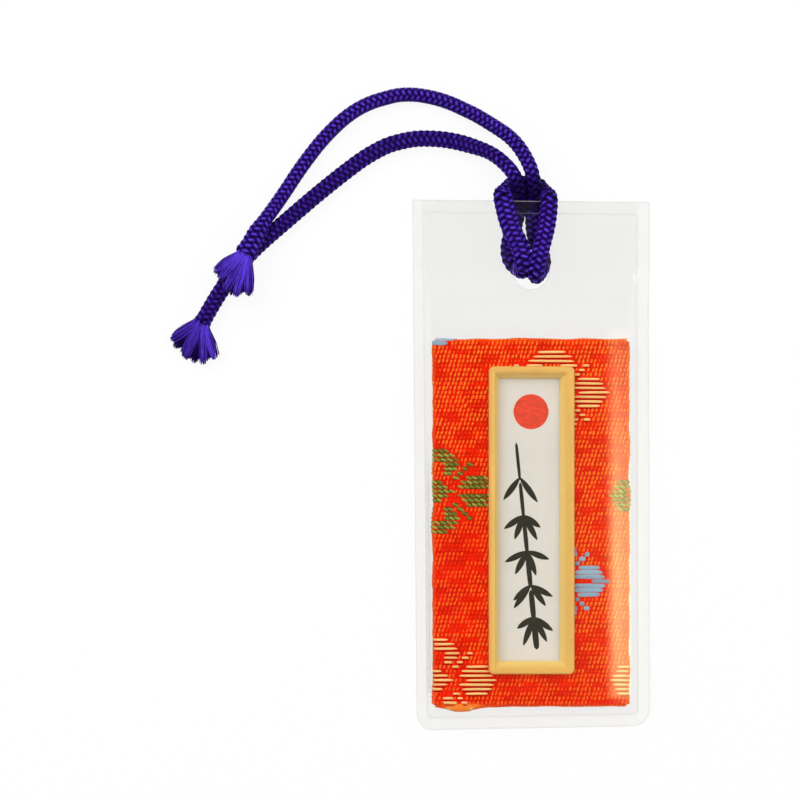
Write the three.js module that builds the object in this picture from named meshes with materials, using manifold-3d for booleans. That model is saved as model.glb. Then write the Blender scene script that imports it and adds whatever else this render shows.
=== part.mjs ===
// A paper-slip charm in a brocade-covered card, sealed in a clear soft-vinyl sleeve, with a braided cord
// hitched through a punched hole at the top of the sleeve.
// Millimetres. The sleeve lies on its back in the XY plane: +Z is its front, +Y its top.
// The table is at z = 0.
import * as THREE from 'three';
import { mergeVertices } from 'three/addons/utils/BufferGeometryUtils.js';
import Module from 'manifold-3d';

const wasm = await Module();
wasm.setup();

// Charm card: a board wrapped in brocade, with a lining on its back and a folded slip inside
const cardWidth = 30.2;
const cardLength = 56.5;
const cardCorner = 1.2;
const boardThickness = 1.6;
const fabricThickness = 0.35;
const fabricRound = 0.3;
const turnInWidth = 5;
const liningThickness = 0.25;
const liningLap = 2.5;
const glueLine = 0.1;
const slipWidth = 14;
const slipLength = 46;
const slipThickness = 0.3;
const slipClearance = 0.3;

// Window frame: a moulded bezel whose skirt drops into the board and holds the title card down
const windowWidth = 9.8;
const windowLength = 43.8;
const frameBorder = 1.65;
const frameCorner = 0.8;
const frameProud = 1.15;
const frameLip = 0.35;
const lipShoulder = 0.3 * frameLip;
const frameCrest = 0.75;
const frameBevel = 1.2;
const frameDraft = 0.2;
const frameRise = 0.45;
const skirtInset = 0.8;
const skirtClearance = 0.25;
const pocketDepth = 0.6;
const titleThickness = 0.25;
const titleClearance = 0.35;

// Clear sleeve: two soft films welded all round, formed over the card, with a flat strip at the top
const filmThickness = 0.3;
const weldWidth = 1.6;
const weldHeight = 1.4;
const weldLine = 0.1;
const sideMargin = 1.6;
const bottomMargin = 1.9;
const sleeveCorner = 2.7;
const cornerStop = 0.9 * weldWidth;
const charmClearance = 0.2;
const filmClearance = 0.25;
const cardTravel = 5.5;
const travelClearance = 0.2;
const rampRun = 5;
const stripLength = 10.5;
const stripBand = 8.05;
const holeDiameter = 5.5;
const holeSides = 32;

// Cord
const cordDiameter = 2.2;
const cordClearance = 0.2;
const tableGap = 0.05;
const cordSides = 8;
const hitchSteps = 54;
const tailSteps = 15;
const swivel = [-1.77, 15.6];
const swivelRadius = 3;
const swivelSides = 48;
const swivelGap = 0.3;
const selfGapSkip = 1.6 * cordDiameter;

// Sizes that follow from the ones above
const sleeveWidth = cardWidth + 2 * (sideMargin + weldWidth);
const headLength = cardTravel + travelClearance + rampRun + stripLength;
const sleeveLength = weldWidth + bottomMargin + cardLength + headLength;
const sleeveTop = sleeveLength / 2;
const sleeveBottom = -sleeveLength / 2;
const cardBottom = sleeveBottom + weldWidth + bottomMargin;
const cardTop = cardBottom + cardLength;
const cardMiddle = (cardBottom + cardTop) / 2;
const holeMiddle = sleeveTop - stripBand - holeDiameter / 2;
const frameWidth = windowWidth + 2 * frameBorder;
const frameLength = windowLength + 2 * frameBorder;
const frameMiddle = cardMiddle + frameRise;

// Heights of the charm's layers, from the sleeve's back film up
const liningBack = filmThickness + charmClearance;
const coverBack = liningBack + liningThickness + glueLine;
const boardBack = coverBack + fabricThickness + glueLine;
const boardFront = boardBack + boardThickness;
const coverFront = boardFront + glueLine + fabricThickness;
const pocketFloor = boardFront - pocketDepth;
const titleBack = pocketFloor + glueLine;
const skirtFoot = titleBack + titleThickness + glueLine;
const flangeBack = coverFront + glueLine;
const frameFront = flangeBack + frameProud;

// Heights of the sleeve: under the strip there is room for the cord that lies on the table
const stripUnder = tableGap + cordDiameter + cordClearance;
const frontOverBack = filmThickness + weldLine;
const edgeUnder = coverFront + filmClearance;
const tentUnder = frameFront + filmClearance;
const rampStart = cardTop + travelClearance + cardTravel;
const rampEnd = rampStart + rampRun;
const cutHeight = 4 * tentUnder;

// The cord's route, from the middle of the hole at table level: x, y, z.
// The hitch runs from the lower tail's stub under the strip, up through the hole, along the left leg,
// over the top edge, below both tails, back along the right leg, down through the hole and out to the
// upper tail's stub.
// The tails swing about a point between the two stubs, where the cord bends.
const hitchRoute = [
  [-4.9, 17.15, 3.55],
  [-4.05, 16.35, 3.7],
  [-3.3, 15.55, 3.8],
  [-2.7, 14.65, 3.8],
  [-2.28, 13.55, 3.5],
  [-2.06, 12.55, 2.68],
  [-1.97, 11.6, 1.43],
  [-1.96, 10.4, 1.15],
  [-2.2, 7.9, 1.15],
  [-3, 5.2, 1.15],
  [-3.25, 3.2, 1.15],
  [-2.75, 1.5, 1.15],
  [-1.85, 0.2, 1.15],
  [-1.36, -0.5, 1.85],
  [-1.27, -0.65, 2.85],
  [-1.28, -0.15, 3.85],
  [-1.48, 1.3, 4.45],
  [-2, 3.3, 4.5],
  [-3.15, 6.9, 4.5],
  [-4.15, 10, 4.5],
  [-4.52, 11.4, 4.25],
  [-4.56, 12.4, 2.95],
  [-4.1, 13.4, 1.6],
  [-3, 14.25, 1.15],
  [-1.05, 14.5, 1.15],
  [0.95, 14.45, 1.15],
  [2.35, 13.6, 1.5],
  [2.92, 12.5, 2.85],
  [2.9, 11.4, 4.25],
  [2.83, 10, 4.5],
  [2.4, 6.9, 4.5],
  [1.75, 3.3, 4.5],
  [1.35, 1.3, 4.45],
  [1.22, -0.15, 3.85],
  [1.22, -0.65, 2.85],
  [1.38, -0.5, 1.85],
  [1.78, 0.2, 1.15],
  [2.05, 1.5, 1.15],
  [2, 3.1, 1.15],
  [1.45, 5.2, 1.15],
  [0.8, 7.9, 1.15],
  [0.5, 10.4, 1.15],
  [0.46, 11.6, 1.43],
  [0.42, 12.55, 2.68],
  [0.36, 13.55, 3.5],
  [0.15, 14.7, 3.8],
  [-0.2, 15.85, 3.8],
  [-0.68, 16.95, 3.7],
  [-1.25, 18, 3.6],
  [-1.9, 19, 3.5],
];
const lowerTailRoute = [
  [-3.3, 15.55, 3.8], [-4.05, 16.35, 3.7], [-4.9, 17.15, 3.55], [-5.75, 17.8, 3.25], [-6.8, 18.45, 2.75],
  [-8.2, 19.05, 2.15], [-9.7, 19.6, 1.6], [-11.2, 20.05, 1.25], [-13.4, 20.45, 1.15], [-15.6, 20.6, 1.15],
  [-17.8, 20.55, 1.15], [-20, 20.15, 1.15], [-21.9, 19.6, 1.15], [-23.6, 18.8, 1.15], [-25.8, 17.5, 1.15],
  [-28, 15.9, 1.15], [-30.5, 13.95, 1.15], [-32.9, 12, 1.15], [-35.2, 10.05, 1.15], [-37.7, 7.9, 1.15],
  [-40.2, 5.75, 1.15], [-42.5, 3.65, 1.15], [-44.6, 1.4, 1.15], [-46.5, -1, 1.15], [-48.5, -4, 1.15],
  [-50.4, -7.3, 1.15],
];
const upperTailRoute = [
  [-0.7, 16.95, 3.7], [-1.25, 18, 3.6], [-1.9, 19, 3.5], [-2.7, 20, 3.15], [-3.65, 20.95, 2.7],
  [-4.8, 21.85, 2.15], [-6.3, 22.9, 1.6], [-8.3, 24.15, 1.25], [-10.3, 25.15, 1.15], [-12.3, 26.05, 1.15],
  [-14.4, 26.75, 1.15], [-16.5, 27.2, 1.15], [-18.4, 27.4, 1.15], [-20.5, 27.3, 1.15], [-22.4, 26.85, 1.15],
  [-24.5, 26.2, 1.15], [-26.5, 25.25, 1.15], [-28.5, 23.9, 1.15], [-30.5, 22.1, 1.15], [-32.5, 19.95, 1.15],
  [-34.5, 17.4, 1.15], [-36.2, 15, 1.15], [-37.7, 12.7, 1.2], [-39.4, 10.15, 1.6], [-41.1, 7.6, 2.65],
  [-42.4, 5.5, 3.5], [-43.6, 3.4, 3.75],
];

// Frayed ends: where each fan of loosened yarn points, how far it opens and how long its locks are
const fanLocks = 7;
const fanLength = 7;
const fanEdgeShare = 0.86;
const fanCollar = 1.4;
const fanGap = 0.3;
const lockRoot = 0.62;
const lockTip = 0.34;
const lockSides = 6;
const lockRings = 5;
const lowerFan = { heading: 255, spread: 39, tipHeight: 0.55 };
const upperFan = { heading: 246, spread: 33, tipHeight: 3.3 };

const DEGREE = Math.PI / 180;

// General shaping

function smooth(from, to, value) {
  const t = THREE.MathUtils.clamp((value - from) / (to - from), 0, 1);
  return t * t * (3 - 2 * t);
}

function toSolid(geometry) {
  const bare = geometry.clone();
  bare.deleteAttribute('normal');
  bare.deleteAttribute('uv');
  const merged = mergeVertices(bare, 1e-5);
  return new wasm.Manifold(new wasm.Mesh({
    numProp: 3,
    vertProperties: new Float32Array(merged.getAttribute('position').array),
    triVerts: new Uint32Array(merged.getIndex().array),
  }));
}

function toGeometry(solid) {
  const mesh = solid.getMesh();
  return indexedGeometry(mesh.vertProperties, mesh.triVerts);
}

function indexedGeometry(positions, triangles) {
  const geometry = new THREE.BufferGeometry();
  geometry.setAttribute('position', new THREE.BufferAttribute(new Float32Array(positions), 3));
  geometry.setIndex(new THREE.BufferAttribute(new Uint32Array(triangles), 1));
  geometry.computeVertexNormals();
  return geometry;
}

function roundedRectangle(width, length, corner) {
  const x = width / 2 - corner;
  const y = length / 2 - corner;
  const shape = new THREE.Shape();
  shape.absarc(x, y, corner, 0, Math.PI / 2);
  shape.absarc(-x, y, corner, Math.PI / 2, Math.PI);
  shape.absarc(-x, -y, corner, Math.PI, 1.5 * Math.PI);
  shape.absarc(x, -y, corner, 1.5 * Math.PI, 2 * Math.PI);
  return shape;
}

// A flat slab between two heights, its edges rounded over by `round`
function slab(width, length, corner, back, front, middle, round = 0) {
  const geometry = new THREE.ExtrudeGeometry(roundedRectangle(width, length, corner), {
    depth: front - back - 2 * round,
    curveSegments: 3,
    bevelEnabled: round > 0,
    bevelThickness: round,
    bevelSize: round,
    bevelOffset: -round,
    bevelSegments: 2,
  });
  return geometry.translate(0, middle, back + round);
}

// Joins equal rings of points into a closed skin; the first and last ring meet, or are capped
function loft(rings, closed) {
  const count = rings[0].length;
  const positions = rings.flat().flatMap((p) => [p.x, p.y, p.z]);
  const triangles = [];
  const last = closed ? rings.length : rings.length - 1;
  for (let i = 0; i < last; i += 1) {
    const a = i * count;
    const b = ((i + 1) % rings.length) * count;
    for (let j = 0; j < count; j += 1) {
      const k = (j + 1) % count;
      triangles.push(a + j, a + k, b + k, a + j, b + k, b + j);
    }
  }
  if (!closed) {
    const top = (rings.length - 1) * count;
    for (let j = 1; j < count - 1; j += 1) {
      triangles.push(0, j + 1, j, top, top + j, top + j + 1);
    }
  }
  return indexedGeometry(positions, triangles);
}

function routeCurve(route) {
  return new THREE.CatmullRomCurve3(route.map((p) => new THREE.Vector3(...p)), false, 'centripetal');
}

function polygon(radius, sides) {
  const points = [];
  for (let i = 0; i < sides; i += 1) {
    const angle = (2 * Math.PI * i) / sides;
    points.push(new THREE.Vector2(radius * Math.cos(angle), radius * Math.sin(angle)));
  }
  return new THREE.Shape(points);
}

// A square-ended tube of cord along a curve
function cordTube(curve, steps) {
  return new THREE.ExtrudeGeometry(polygon(cordDiameter / 2, cordSides), {
    steps,
    extrudePath: curve,
    bevelEnabled: false,
  });
}

// Clear sleeve

// Distance from the sleeve's side and bottom edges, inwards
function insetFromEdge(x, y) {
  const across = Math.abs(x) - (sleeveWidth / 2 - sleeveCorner);
  const down = sleeveBottom + sleeveCorner - y;
  const outside = Math.hypot(Math.max(across, 0), Math.max(down, 0));
  return sleeveCorner - outside - Math.min(Math.max(across, down), 0);
}

// 0 over the weld, 1 where the film lies along the card
function wallRise(x, y) {
  return smooth(weldWidth, weldWidth + sideMargin, insetFromEdge(x, y));
}

// 0 over the card, 1 on the flat strip at the top
function stripShare(y) {
  return smooth(rampStart, rampEnd, y);
}

// 1 over the frame and the room it slides into, falling to 0 at the card's edges
function tentShare(x, y) {
  const side = frameWidth / 2 + filmClearance;
  const low = frameMiddle - frameLength / 2 - filmClearance;
  const high = frameMiddle + frameLength / 2 + cardTravel + filmClearance;
  const across = smooth(side, cardWidth / 2, Math.abs(x));
  const below = smooth(low, cardBottom, y);
  const above = smooth(high, rampStart, y);
  return (1 - across) * (1 - below) * (1 - above);
}

function backUnder(x, y) {
  const weld = THREE.MathUtils.lerp(weldHeight, stripUnder, stripShare(y));
  const bed = stripUnder * stripShare(y);
  return THREE.MathUtils.lerp(weld, bed, wallRise(x, y));
}

function frontUnder(x, y) {
  const strip = stripShare(y);
  const weld = THREE.MathUtils.lerp(weldHeight, stripUnder, strip) + frontOverBack;
  const card = THREE.MathUtils.lerp(edgeUnder, tentUnder, tentShare(x, y));
  const crown = THREE.MathUtils.lerp(card, stripUnder + frontOverBack, strip);
  return THREE.MathUtils.lerp(weld, crown, wallRise(x, y));
}

// Rows from the sleeve's bottom edge to its top edge, closer where the film bends
function filmRows() {
  const rows = [];
  const cornerSteps = 3;
  for (let i = 0; i < cornerSteps; i += 1) {
    const angle = ((i / cornerSteps) * Math.PI) / 2;
    rows.push(sleeveBottom + Math.min(sleeveCorner * (1 - Math.cos(angle)), cornerStop));
  }
  const wallSteps = 4;
  for (let i = 0; i <= wallSteps; i += 1) {
    rows.push(sleeveBottom + weldWidth + (sideMargin * i) / wallSteps);
  }
  const frameLow = frameMiddle - frameLength / 2 - filmClearance;
  const frameHigh = frameMiddle + frameLength / 2 + cardTravel + filmClearance;
  rows.push((cardBottom + frameLow) / 2, frameLow, (frameLow + frameHigh) / 2, frameHigh);
  rows.push((frameHigh + rampStart) / 2);
  const rampSteps = 5;
  for (let i = 0; i <= rampSteps; i += 1) {
    rows.push(rampStart + (rampRun * i) / rampSteps);
  }
  rows.push((rampEnd + sleeveTop) / 2, sleeveTop);
  return rows;
}

// Columns of one row, from the left edge to the right; the outer ones follow the rounded corner
function filmColumns(y) {
  const rise = y - sleeveBottom;
  const drawIn = rise < sleeveCorner ? sleeveCorner - Math.sqrt(rise * (2 * sleeveCorner - rise)) : 0;
  const edge = sleeveWidth / 2 - drawIn;
  const half = [];
  const wallSteps = 4;
  half.push(edge);
  for (let i = 0; i <= wallSteps; i += 1) {
    half.push(edge - weldWidth - (sideMargin * i) / wallSteps);
  }
  const frameSide = frameWidth / 2 + filmClearance;
  const slopeSteps = 3;
  const slopeEdge = sleeveWidth / 2 - sleeveCorner - weldWidth - sideMargin;
  for (let i = 0; i < slopeSteps; i += 1) {
    half.push(THREE.MathUtils.lerp(slopeEdge, frameSide, (i + 1) / slopeSteps));
  }
  half.push(frameSide / 2);
  return [...half.map((x) => -x), 0, ...half.reverse()];
}

// A film of even height whose underside follows `under`, with the hole punched through
function sleeveFilm(under) {
  const rows = filmRows();
  const count = filmColumns(0).length;
  const lower = [];
  const upper = [];
  for (const y of rows) {
    for (const x of filmColumns(y)) {
      const z = under(x, y);
      lower.push(x, y, z);
      upper.push(x, y, z + filmThickness);
    }
  }
  const lift = rows.length * count;
  const triangles = [];
  for (let j = 0; j < rows.length - 1; j += 1) {
    for (let i = 0; i < count - 1; i += 1) {
      const a = j * count + i;
      const b = a + 1;
      const c = a + count;
      const d = c + 1;
      triangles.push(lift + a, lift + b, lift + d, lift + a, lift + d, lift + c);
      triangles.push(a, d, b, a, c, d);
    }
  }
  const rim = [];
  for (let i = 0; i < count; i += 1) rim.push(i);
  for (let j = 1; j < rows.length; j += 1) rim.push(j * count + count - 1);
  for (let i = count - 2; i >= 0; i -= 1) rim.push((rows.length - 1) * count + i);
  for (let j = rows.length - 2; j > 0; j -= 1) rim.push(j * count);
  rim.forEach((a, i) => {
    const b = rim[(i + 1) % rim.length];
    triangles.push(a, b, lift + b, a, lift + b, lift + a);
  });
  const film = toSolid(indexedGeometry([...lower, ...upper], triangles));
  const punch = new THREE.CylinderGeometry(holeDiameter / 2, holeDiameter / 2, cutHeight, holeSides);
  punch.rotateX(Math.PI / 2).translate(0, holeMiddle, 0);
  return toGeometry(film.subtract(toSolid(punch)));
}

// Charm card

function coreBoard() {
  const inset = fabricThickness + glueLine;
  const width = cardWidth - 2 * inset;
  const length = cardLength - 2 * inset;
  const board = slab(width, length, cardCorner, boardBack, boardFront, cardMiddle);
  const pocket = slab(
    frameWidth - 2 * skirtInset + 2 * skirtClearance,
    frameLength - 2 * skirtInset + 2 * skirtClearance,
    frameCorner,
    pocketFloor,
    boardFront + boardThickness,
    frameMiddle,
  );
  const hollow = slab(
    slipWidth + 2 * slipClearance,
    slipLength + 2 * slipClearance,
    frameCorner,
    boardBack - boardThickness,
    boardBack + slipThickness + glueLine,
    frameMiddle,
  );
  return toGeometry(toSolid(board).subtract(toSolid(pocket)).subtract(toSolid(hollow)));
}

// Brocade over the front and sides, turned in round the back, with a window for the frame's skirt
function brocadeCover() {
  const inset = fabricThickness + glueLine / 2;
  const skin = slab(cardWidth, cardLength, cardCorner, coverBack, coverFront, cardMiddle, fabricRound);
  const inside = slab(
    cardWidth - 2 * inset,
    cardLength - 2 * inset,
    cardCorner,
    coverBack + fabricThickness,
    coverFront - fabricThickness,
    cardMiddle,
  );
  const back = slab(
    cardWidth - 2 * turnInWidth,
    cardLength - 2 * turnInWidth,
    cardCorner,
    coverBack - boardThickness,
    coverBack + boardThickness,
    cardMiddle,
  );
  const window = slab(
    frameWidth - 2 * skirtInset + 2 * skirtClearance,
    frameLength - 2 * skirtInset + 2 * skirtClearance,
    frameCorner,
    boardFront,
    coverFront + boardThickness,
    frameMiddle,
  );
  const shell = toSolid(skin).subtract(toSolid(inside)).subtract(toSolid(back));
  return toGeometry(shell.subtract(toSolid(window)));
}

function backLining() {
  const width = cardWidth - 2 * liningLap;
  const length = cardLength - 2 * liningLap;
  return slab(width, length, cardCorner, liningBack, liningBack + liningThickness, cardMiddle);
}

function innerSlip() {
  return slab(slipWidth, slipLength, frameCorner / 2, boardBack, boardBack + slipThickness, frameMiddle);
}

function titleCard() {
  const width = frameWidth - 2 * skirtInset - 2 * titleClearance;
  const length = frameLength - 2 * skirtInset - 2 * titleClearance;
  return slab(width, length, frameCorner / 2, titleBack, titleBack + titleThickness, frameMiddle);
}

// The bezel's section, as insets from its outline and heights, carried round a rounded rectangle
function windowFrame() {
  const section = [
    [0, flangeBack],
    [0, frameFront - frameLip],
    [lipShoulder, frameFront - lipShoulder],
    [frameLip, frameFront],
    [frameCrest, frameFront],
    [frameCrest + lipShoulder, frameFront - lipShoulder / 2],
    [frameBorder, frameFront - frameBevel],
    [frameBorder + frameDraft, skirtFoot],
    [skirtInset, skirtFoot],
    [skirtInset, flangeBack],
  ];
  const leastCorner = 0.15;
  const cornerDivisions = 3;
  const rings = section.map(([inset, height]) => {
    const corner = Math.max(frameCorner - inset, leastCorner);
    const outline = roundedRectangle(frameWidth - 2 * inset, frameLength - 2 * inset, corner);
    const points = outline.extractPoints(cornerDivisions).shape.slice(0, 4 * (2 * cornerDivisions + 1));
    return points.map((p) => new THREE.Vector3(p.x, p.y + frameMiddle, height));
  });
  return loft(rings, true);
}

// Cord

// Least room between stretches of the cord that lie further apart along it than `skip`
function leastSelfGap(curve, skip) {
  const samples = 400;
  const points = curve.getSpacedPoints(samples);
  const stride = Math.ceil((skip / curve.getLength()) * samples);
  let least = Infinity;
  for (let i = 0; i <= samples; i += 1) {
    for (let j = i + stride; j <= samples; j += 1) {
      least = Math.min(least, points[i].distanceTo(points[j]));
    }
  }
  return least - cordDiameter;
}

function swivelCore(radius) {
  const core = new THREE.CylinderGeometry(radius, radius, cutHeight, swivelSides);
  return toSolid(core.rotateX(Math.PI / 2).translate(...swivel, 0));
}

// The hitch, its two stubs cut off round the swivel, above the arc that passes below them
function cordHitch(curve) {
  const reach = 4 * swivelRadius;
  const beyond = new THREE.BoxGeometry(reach, reach, reach);
  const floor = tableGap + cordDiameter + cordClearance / 2;
  beyond.translate(swivel[0], swivel[1] + reach / 2 - cordDiameter / 4, floor + reach / 2);
  const cutter = toSolid(beyond).subtract(swivelCore(swivelRadius - swivelGap / 2));
  return toGeometry(toSolid(cordTube(curve, hitchSteps)).subtract(cutter));
}

function cordTail(curve) {
  return toGeometry(toSolid(cordTube(curve, tailSteps)).subtract(swivelCore(swivelRadius + swivelGap / 2)));
}

// One lock of loosened yarn: round rings that follow a drooping line and grow thin
function yarnLock(root, heading, reach, tipHeight) {
  const rings = [];
  for (let i = 0; i < lockRings; i += 1) {
    const t = i / (lockRings - 1);
    const radius = THREE.MathUtils.lerp(lockRoot, lockTip, t);
    const along = reach * t;
    const middle = new THREE.Vector3(
      root.x + along * Math.cos(heading),
      root.y + along * Math.sin(heading),
      THREE.MathUtils.lerp(root.z, tipHeight, smooth(0, 1, t)),
    );
    const ring = [];
    for (let k = 0; k < lockSides; k += 1) {
      const angle = (2 * Math.PI * k) / lockSides;
      ring.push(new THREE.Vector3(
        middle.x + radius * Math.cos(angle) * -Math.sin(heading),
        middle.y + radius * Math.cos(angle) * Math.cos(heading),
        middle.z + radius * Math.sin(angle),
      ));
    }
    rings.push(ring);
  }
  return loft(rings, false);
}

// The cut end of a tail: a short stub of cord that opens into a fan of locks
function frayedEnd(tail, fan) {
  const end = tail.getPointAt(1);
  const along = tail.getTangentAt(1);
  const start = end.clone().addScaledVector(along, fanGap);
  const stop = start.clone().addScaledVector(along, fanCollar);
  const collar = cordTube(new THREE.LineCurve3(start, stop), 1);
  const root = start.clone().addScaledVector(along, fanCollar / 2);
  let bundle = toSolid(collar);
  for (let i = 0; i < fanLocks; i += 1) {
    const side = (2 * i) / (fanLocks - 1) - 1;
    const heading = (fan.heading + fan.spread * side) * DEGREE;
    const reach = fanLength * THREE.MathUtils.lerp(1, fanEdgeShare, side * side);
    bundle = bundle.add(toSolid(yarnLock(root, heading, reach, fan.tipHeight)));
  }
  return toGeometry(bundle);
}

// Finishes

function finish(color, roughness, opacity = 1) {
  const transparent = opacity < 1;
  return new THREE.MeshStandardMaterial({ color, roughness, metalness: 0, opacity, transparent });
}

const charm = new THREE.Group();

function addPiece(parent, name, geometry, material) {
  const mesh = new THREE.Mesh(geometry, material);
  mesh.name = name;
  parent.add(mesh);
}

const sleeve = new THREE.Group();
addPiece(sleeve, 'sleeve_back_sheet', sleeveFilm(backUnder), finish(0xf1f1f2, 0.15, 0.25));
addPiece(sleeve, 'sleeve_front_sheet', sleeveFilm(frontUnder), finish(0xf1f1f2, 0.15, 0.25));
charm.add(sleeve);

const card = new THREE.Group();
addPiece(card, 'back_lining', backLining(), finish(0xe9e2d2, 0.85));
addPiece(card, 'brocade_cover', brocadeCover(), finish(0xf04a10, 0.7));
addPiece(card, 'inner_slip', innerSlip(), finish(0xf2eddf, 0.9));
addPiece(card, 'core_board', coreBoard(), finish(0xb9ab93, 0.9));
addPiece(card, 'title_card', titleCard(), finish(0xdedad4, 0.8));
addPiece(card, 'window_frame', windowFrame(), finish(0xe8c36e, 0.45));
charm.add(card);

const cord = new THREE.Group();
cord.position.set(0, holeMiddle, 0);
const violet = 0x321096;
const hitchCurve = routeCurve(hitchRoute);
const lowerTail = routeCurve(lowerTailRoute);
const upperTail = routeCurve(upperTailRoute);
addPiece(cord, 'cord_hitch', cordHitch(hitchCurve), finish(violet, 0.75));
addPiece(cord, 'cord_tail_lower', cordTail(lowerTail), finish(violet, 0.75));
addPiece(cord, 'cord_tail_upper', cordTail(upperTail), finish(violet, 0.75));
addPiece(cord, 'frayed_end_lower', frayedEnd(lowerTail, lowerFan), finish(violet, 0.85));
addPiece(cord, 'frayed_end_upper', frayedEnd(upperTail, upperFan), finish(violet, 0.85));
charm.add(cord);

const hitchGap = leastSelfGap(hitchCurve, selfGapSkip);
console.log(`least gap of the hitch to itself: ${hitchGap.toFixed(2)} mm`);

export default charm;
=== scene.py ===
"""A sleeved omamori charm: braided cord, brocade card, moulded window and clear vinyl."""

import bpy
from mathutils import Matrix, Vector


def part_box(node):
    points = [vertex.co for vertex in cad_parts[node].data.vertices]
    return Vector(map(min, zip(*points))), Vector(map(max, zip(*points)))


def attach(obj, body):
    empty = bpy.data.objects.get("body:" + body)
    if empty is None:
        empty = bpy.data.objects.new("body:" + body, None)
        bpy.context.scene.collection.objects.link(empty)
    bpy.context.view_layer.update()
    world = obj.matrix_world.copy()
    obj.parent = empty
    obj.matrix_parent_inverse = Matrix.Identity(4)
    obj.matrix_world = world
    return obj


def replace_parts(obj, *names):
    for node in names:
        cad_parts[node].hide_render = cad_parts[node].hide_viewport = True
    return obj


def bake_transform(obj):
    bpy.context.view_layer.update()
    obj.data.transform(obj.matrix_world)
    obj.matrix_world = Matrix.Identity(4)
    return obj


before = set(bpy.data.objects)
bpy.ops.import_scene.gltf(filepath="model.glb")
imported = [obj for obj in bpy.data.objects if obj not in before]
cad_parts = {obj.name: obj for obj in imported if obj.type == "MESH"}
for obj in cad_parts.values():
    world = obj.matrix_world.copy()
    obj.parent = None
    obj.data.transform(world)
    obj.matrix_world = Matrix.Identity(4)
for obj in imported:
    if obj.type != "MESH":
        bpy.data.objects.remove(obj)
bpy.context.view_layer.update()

import math

import bpy
import numpy as np
from bpy.props import FloatProperty, FloatVectorProperty, PointerProperty

bl_info = {
    "name": "Omamori Charm",
    "version": (1, 0, 0),
    "blender": (4, 5, 0),
    "location": "View3D > Sidebar > Charm",
    "description": "Dresses the packed charm with its cord, brocade, window and clear sleeve",
    "category": "Object",
}

# Working lengths are millimetres; meshes are written in metres.
MM = 0.001
GOLDEN_ANGLE = math.pi * (3 - math.sqrt(5))


def cad_box(node):
    """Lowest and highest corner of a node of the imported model, in millimetres."""
    low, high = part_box(node)
    return np.array(low) / MM, np.array(high) / MM


FRONT_LOW, FRONT_HIGH = cad_box("sleeve_front_sheet")
CARD_LOW, CARD_HIGH = cad_box("brocade_cover")
BEZEL_LOW, BEZEL_HIGH = cad_box("window_frame")
BACK_TOP = cad_box("sleeve_back_sheet")[1][2]
TITLE_TOP = cad_box("title_card")[1][2]
CARD_MIDDLE = (CARD_LOW + CARD_HIGH) / 2
BEZEL_MIDDLE = (BEZEL_LOW + BEZEL_HIGH) / 2
HALF_CARD = (CARD_HIGH - CARD_LOW) / 2
HALF_BEZEL = (BEZEL_HIGH - BEZEL_LOW) / 2
FLAP_DEPTH = CARD_HIGH[2] - CARD_LOW[2]

# The hole's middle, and the cord's route from it at table level: x, y, z.
HOLE = np.array([0.0, FRONT_HIGH[1] - 10.8, 0.0])
HOLE_RADIUS = 2.75
HITCH_ROUTE = [
    (-4.9, 17.15, 3.55), (-4.05, 16.35, 3.7), (-3.3, 15.55, 3.8), (-2.7, 14.65, 3.8),
    (-2.2, 13.55, 3.5), (-1.86, 12.55, 2.68), (-1.76, 11.6, 1.43), (-1.78, 10.4, 1.15),
    (-2.3, 7.9, 1.15), (-3.1, 5.2, 1.15), (-3.35, 3.2, 1.15), (-2.9, 1.5, 1.15),
    (-2, 0.4, 1.15), (-1.45, 0, 1.85), (-1.2, 0.05, 2.85), (-1.02, 0.5, 3.85),
    (-1.3, 1.7, 4.45), (-1.8, 3.6, 4.5), (-3.36, 6.9, 4.5), (-4.2, 10, 4.5),
    (-4.42, 11.3, 4.3), (-4.28, 12.0, 3.2), (-3.7, 12.6, 2), (-2.65, 13.1, 1.3),
    (-0.95, 13.4, 1.15), (0.75, 13.15, 1.2), (1.85, 12.5, 1.9), (2.48, 11.8, 3.15),
    (2.64, 10.95, 4.3), (2.64, 9.8, 4.5), (2.3, 6.9, 4.5), (1.42, 3.3, 4.5),
    (0.95, 1.3, 4.5), (0.68, -0.25, 4), (0.85, -0.85, 2.9), (1.24, -0.5, 1.85),
    (1.78, 0.3, 1.15), (1.95, 1.6, 1.15), (1.5, 3.3, 1.15), (0.75, 5.4, 1.15),
    (0.46, 7.9, 1.15), (0.5, 10.4, 1.15), (0.5, 11.6, 1.43), (0.44, 12.55, 2.68),
    (0.34, 13.55, 3.5), (0.15, 14.7, 3.8), (-0.2, 15.85, 3.8), (-0.68, 16.95, 3.7),
    (-1.25, 18, 3.6), (-1.9, 19, 3.5),
]
LOWER_TAIL_ROUTE = [
    (-5.75, 17.8, 3.25), (-6.8, 18.45, 2.75), (-8.2, 19.05, 2.15), (-9.7, 19.6, 1.6),
    (-11.2, 20.05, 1.25), (-13.4, 20.45, 1.15), (-15.6, 20.6, 1.15), (-17.8, 20.55, 1.15),
    (-20, 20.15, 1.15), (-21.9, 19.6, 1.15), (-23.6, 18.8, 1.15), (-25.8, 17.5, 1.15),
    (-28, 15.9, 1.15), (-30.5, 13.95, 1.15), (-32.9, 12, 1.15), (-35.2, 10.05, 1.15),
    (-37.7, 7.9, 1.15), (-40.2, 5.75, 1.15), (-42.5, 3.65, 1.15), (-44.6, 1.4, 1.15),
    (-46.5, -1, 1.15), (-48.5, -4, 1.15), (-50.65, -7.7, 1.15),
]
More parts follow.
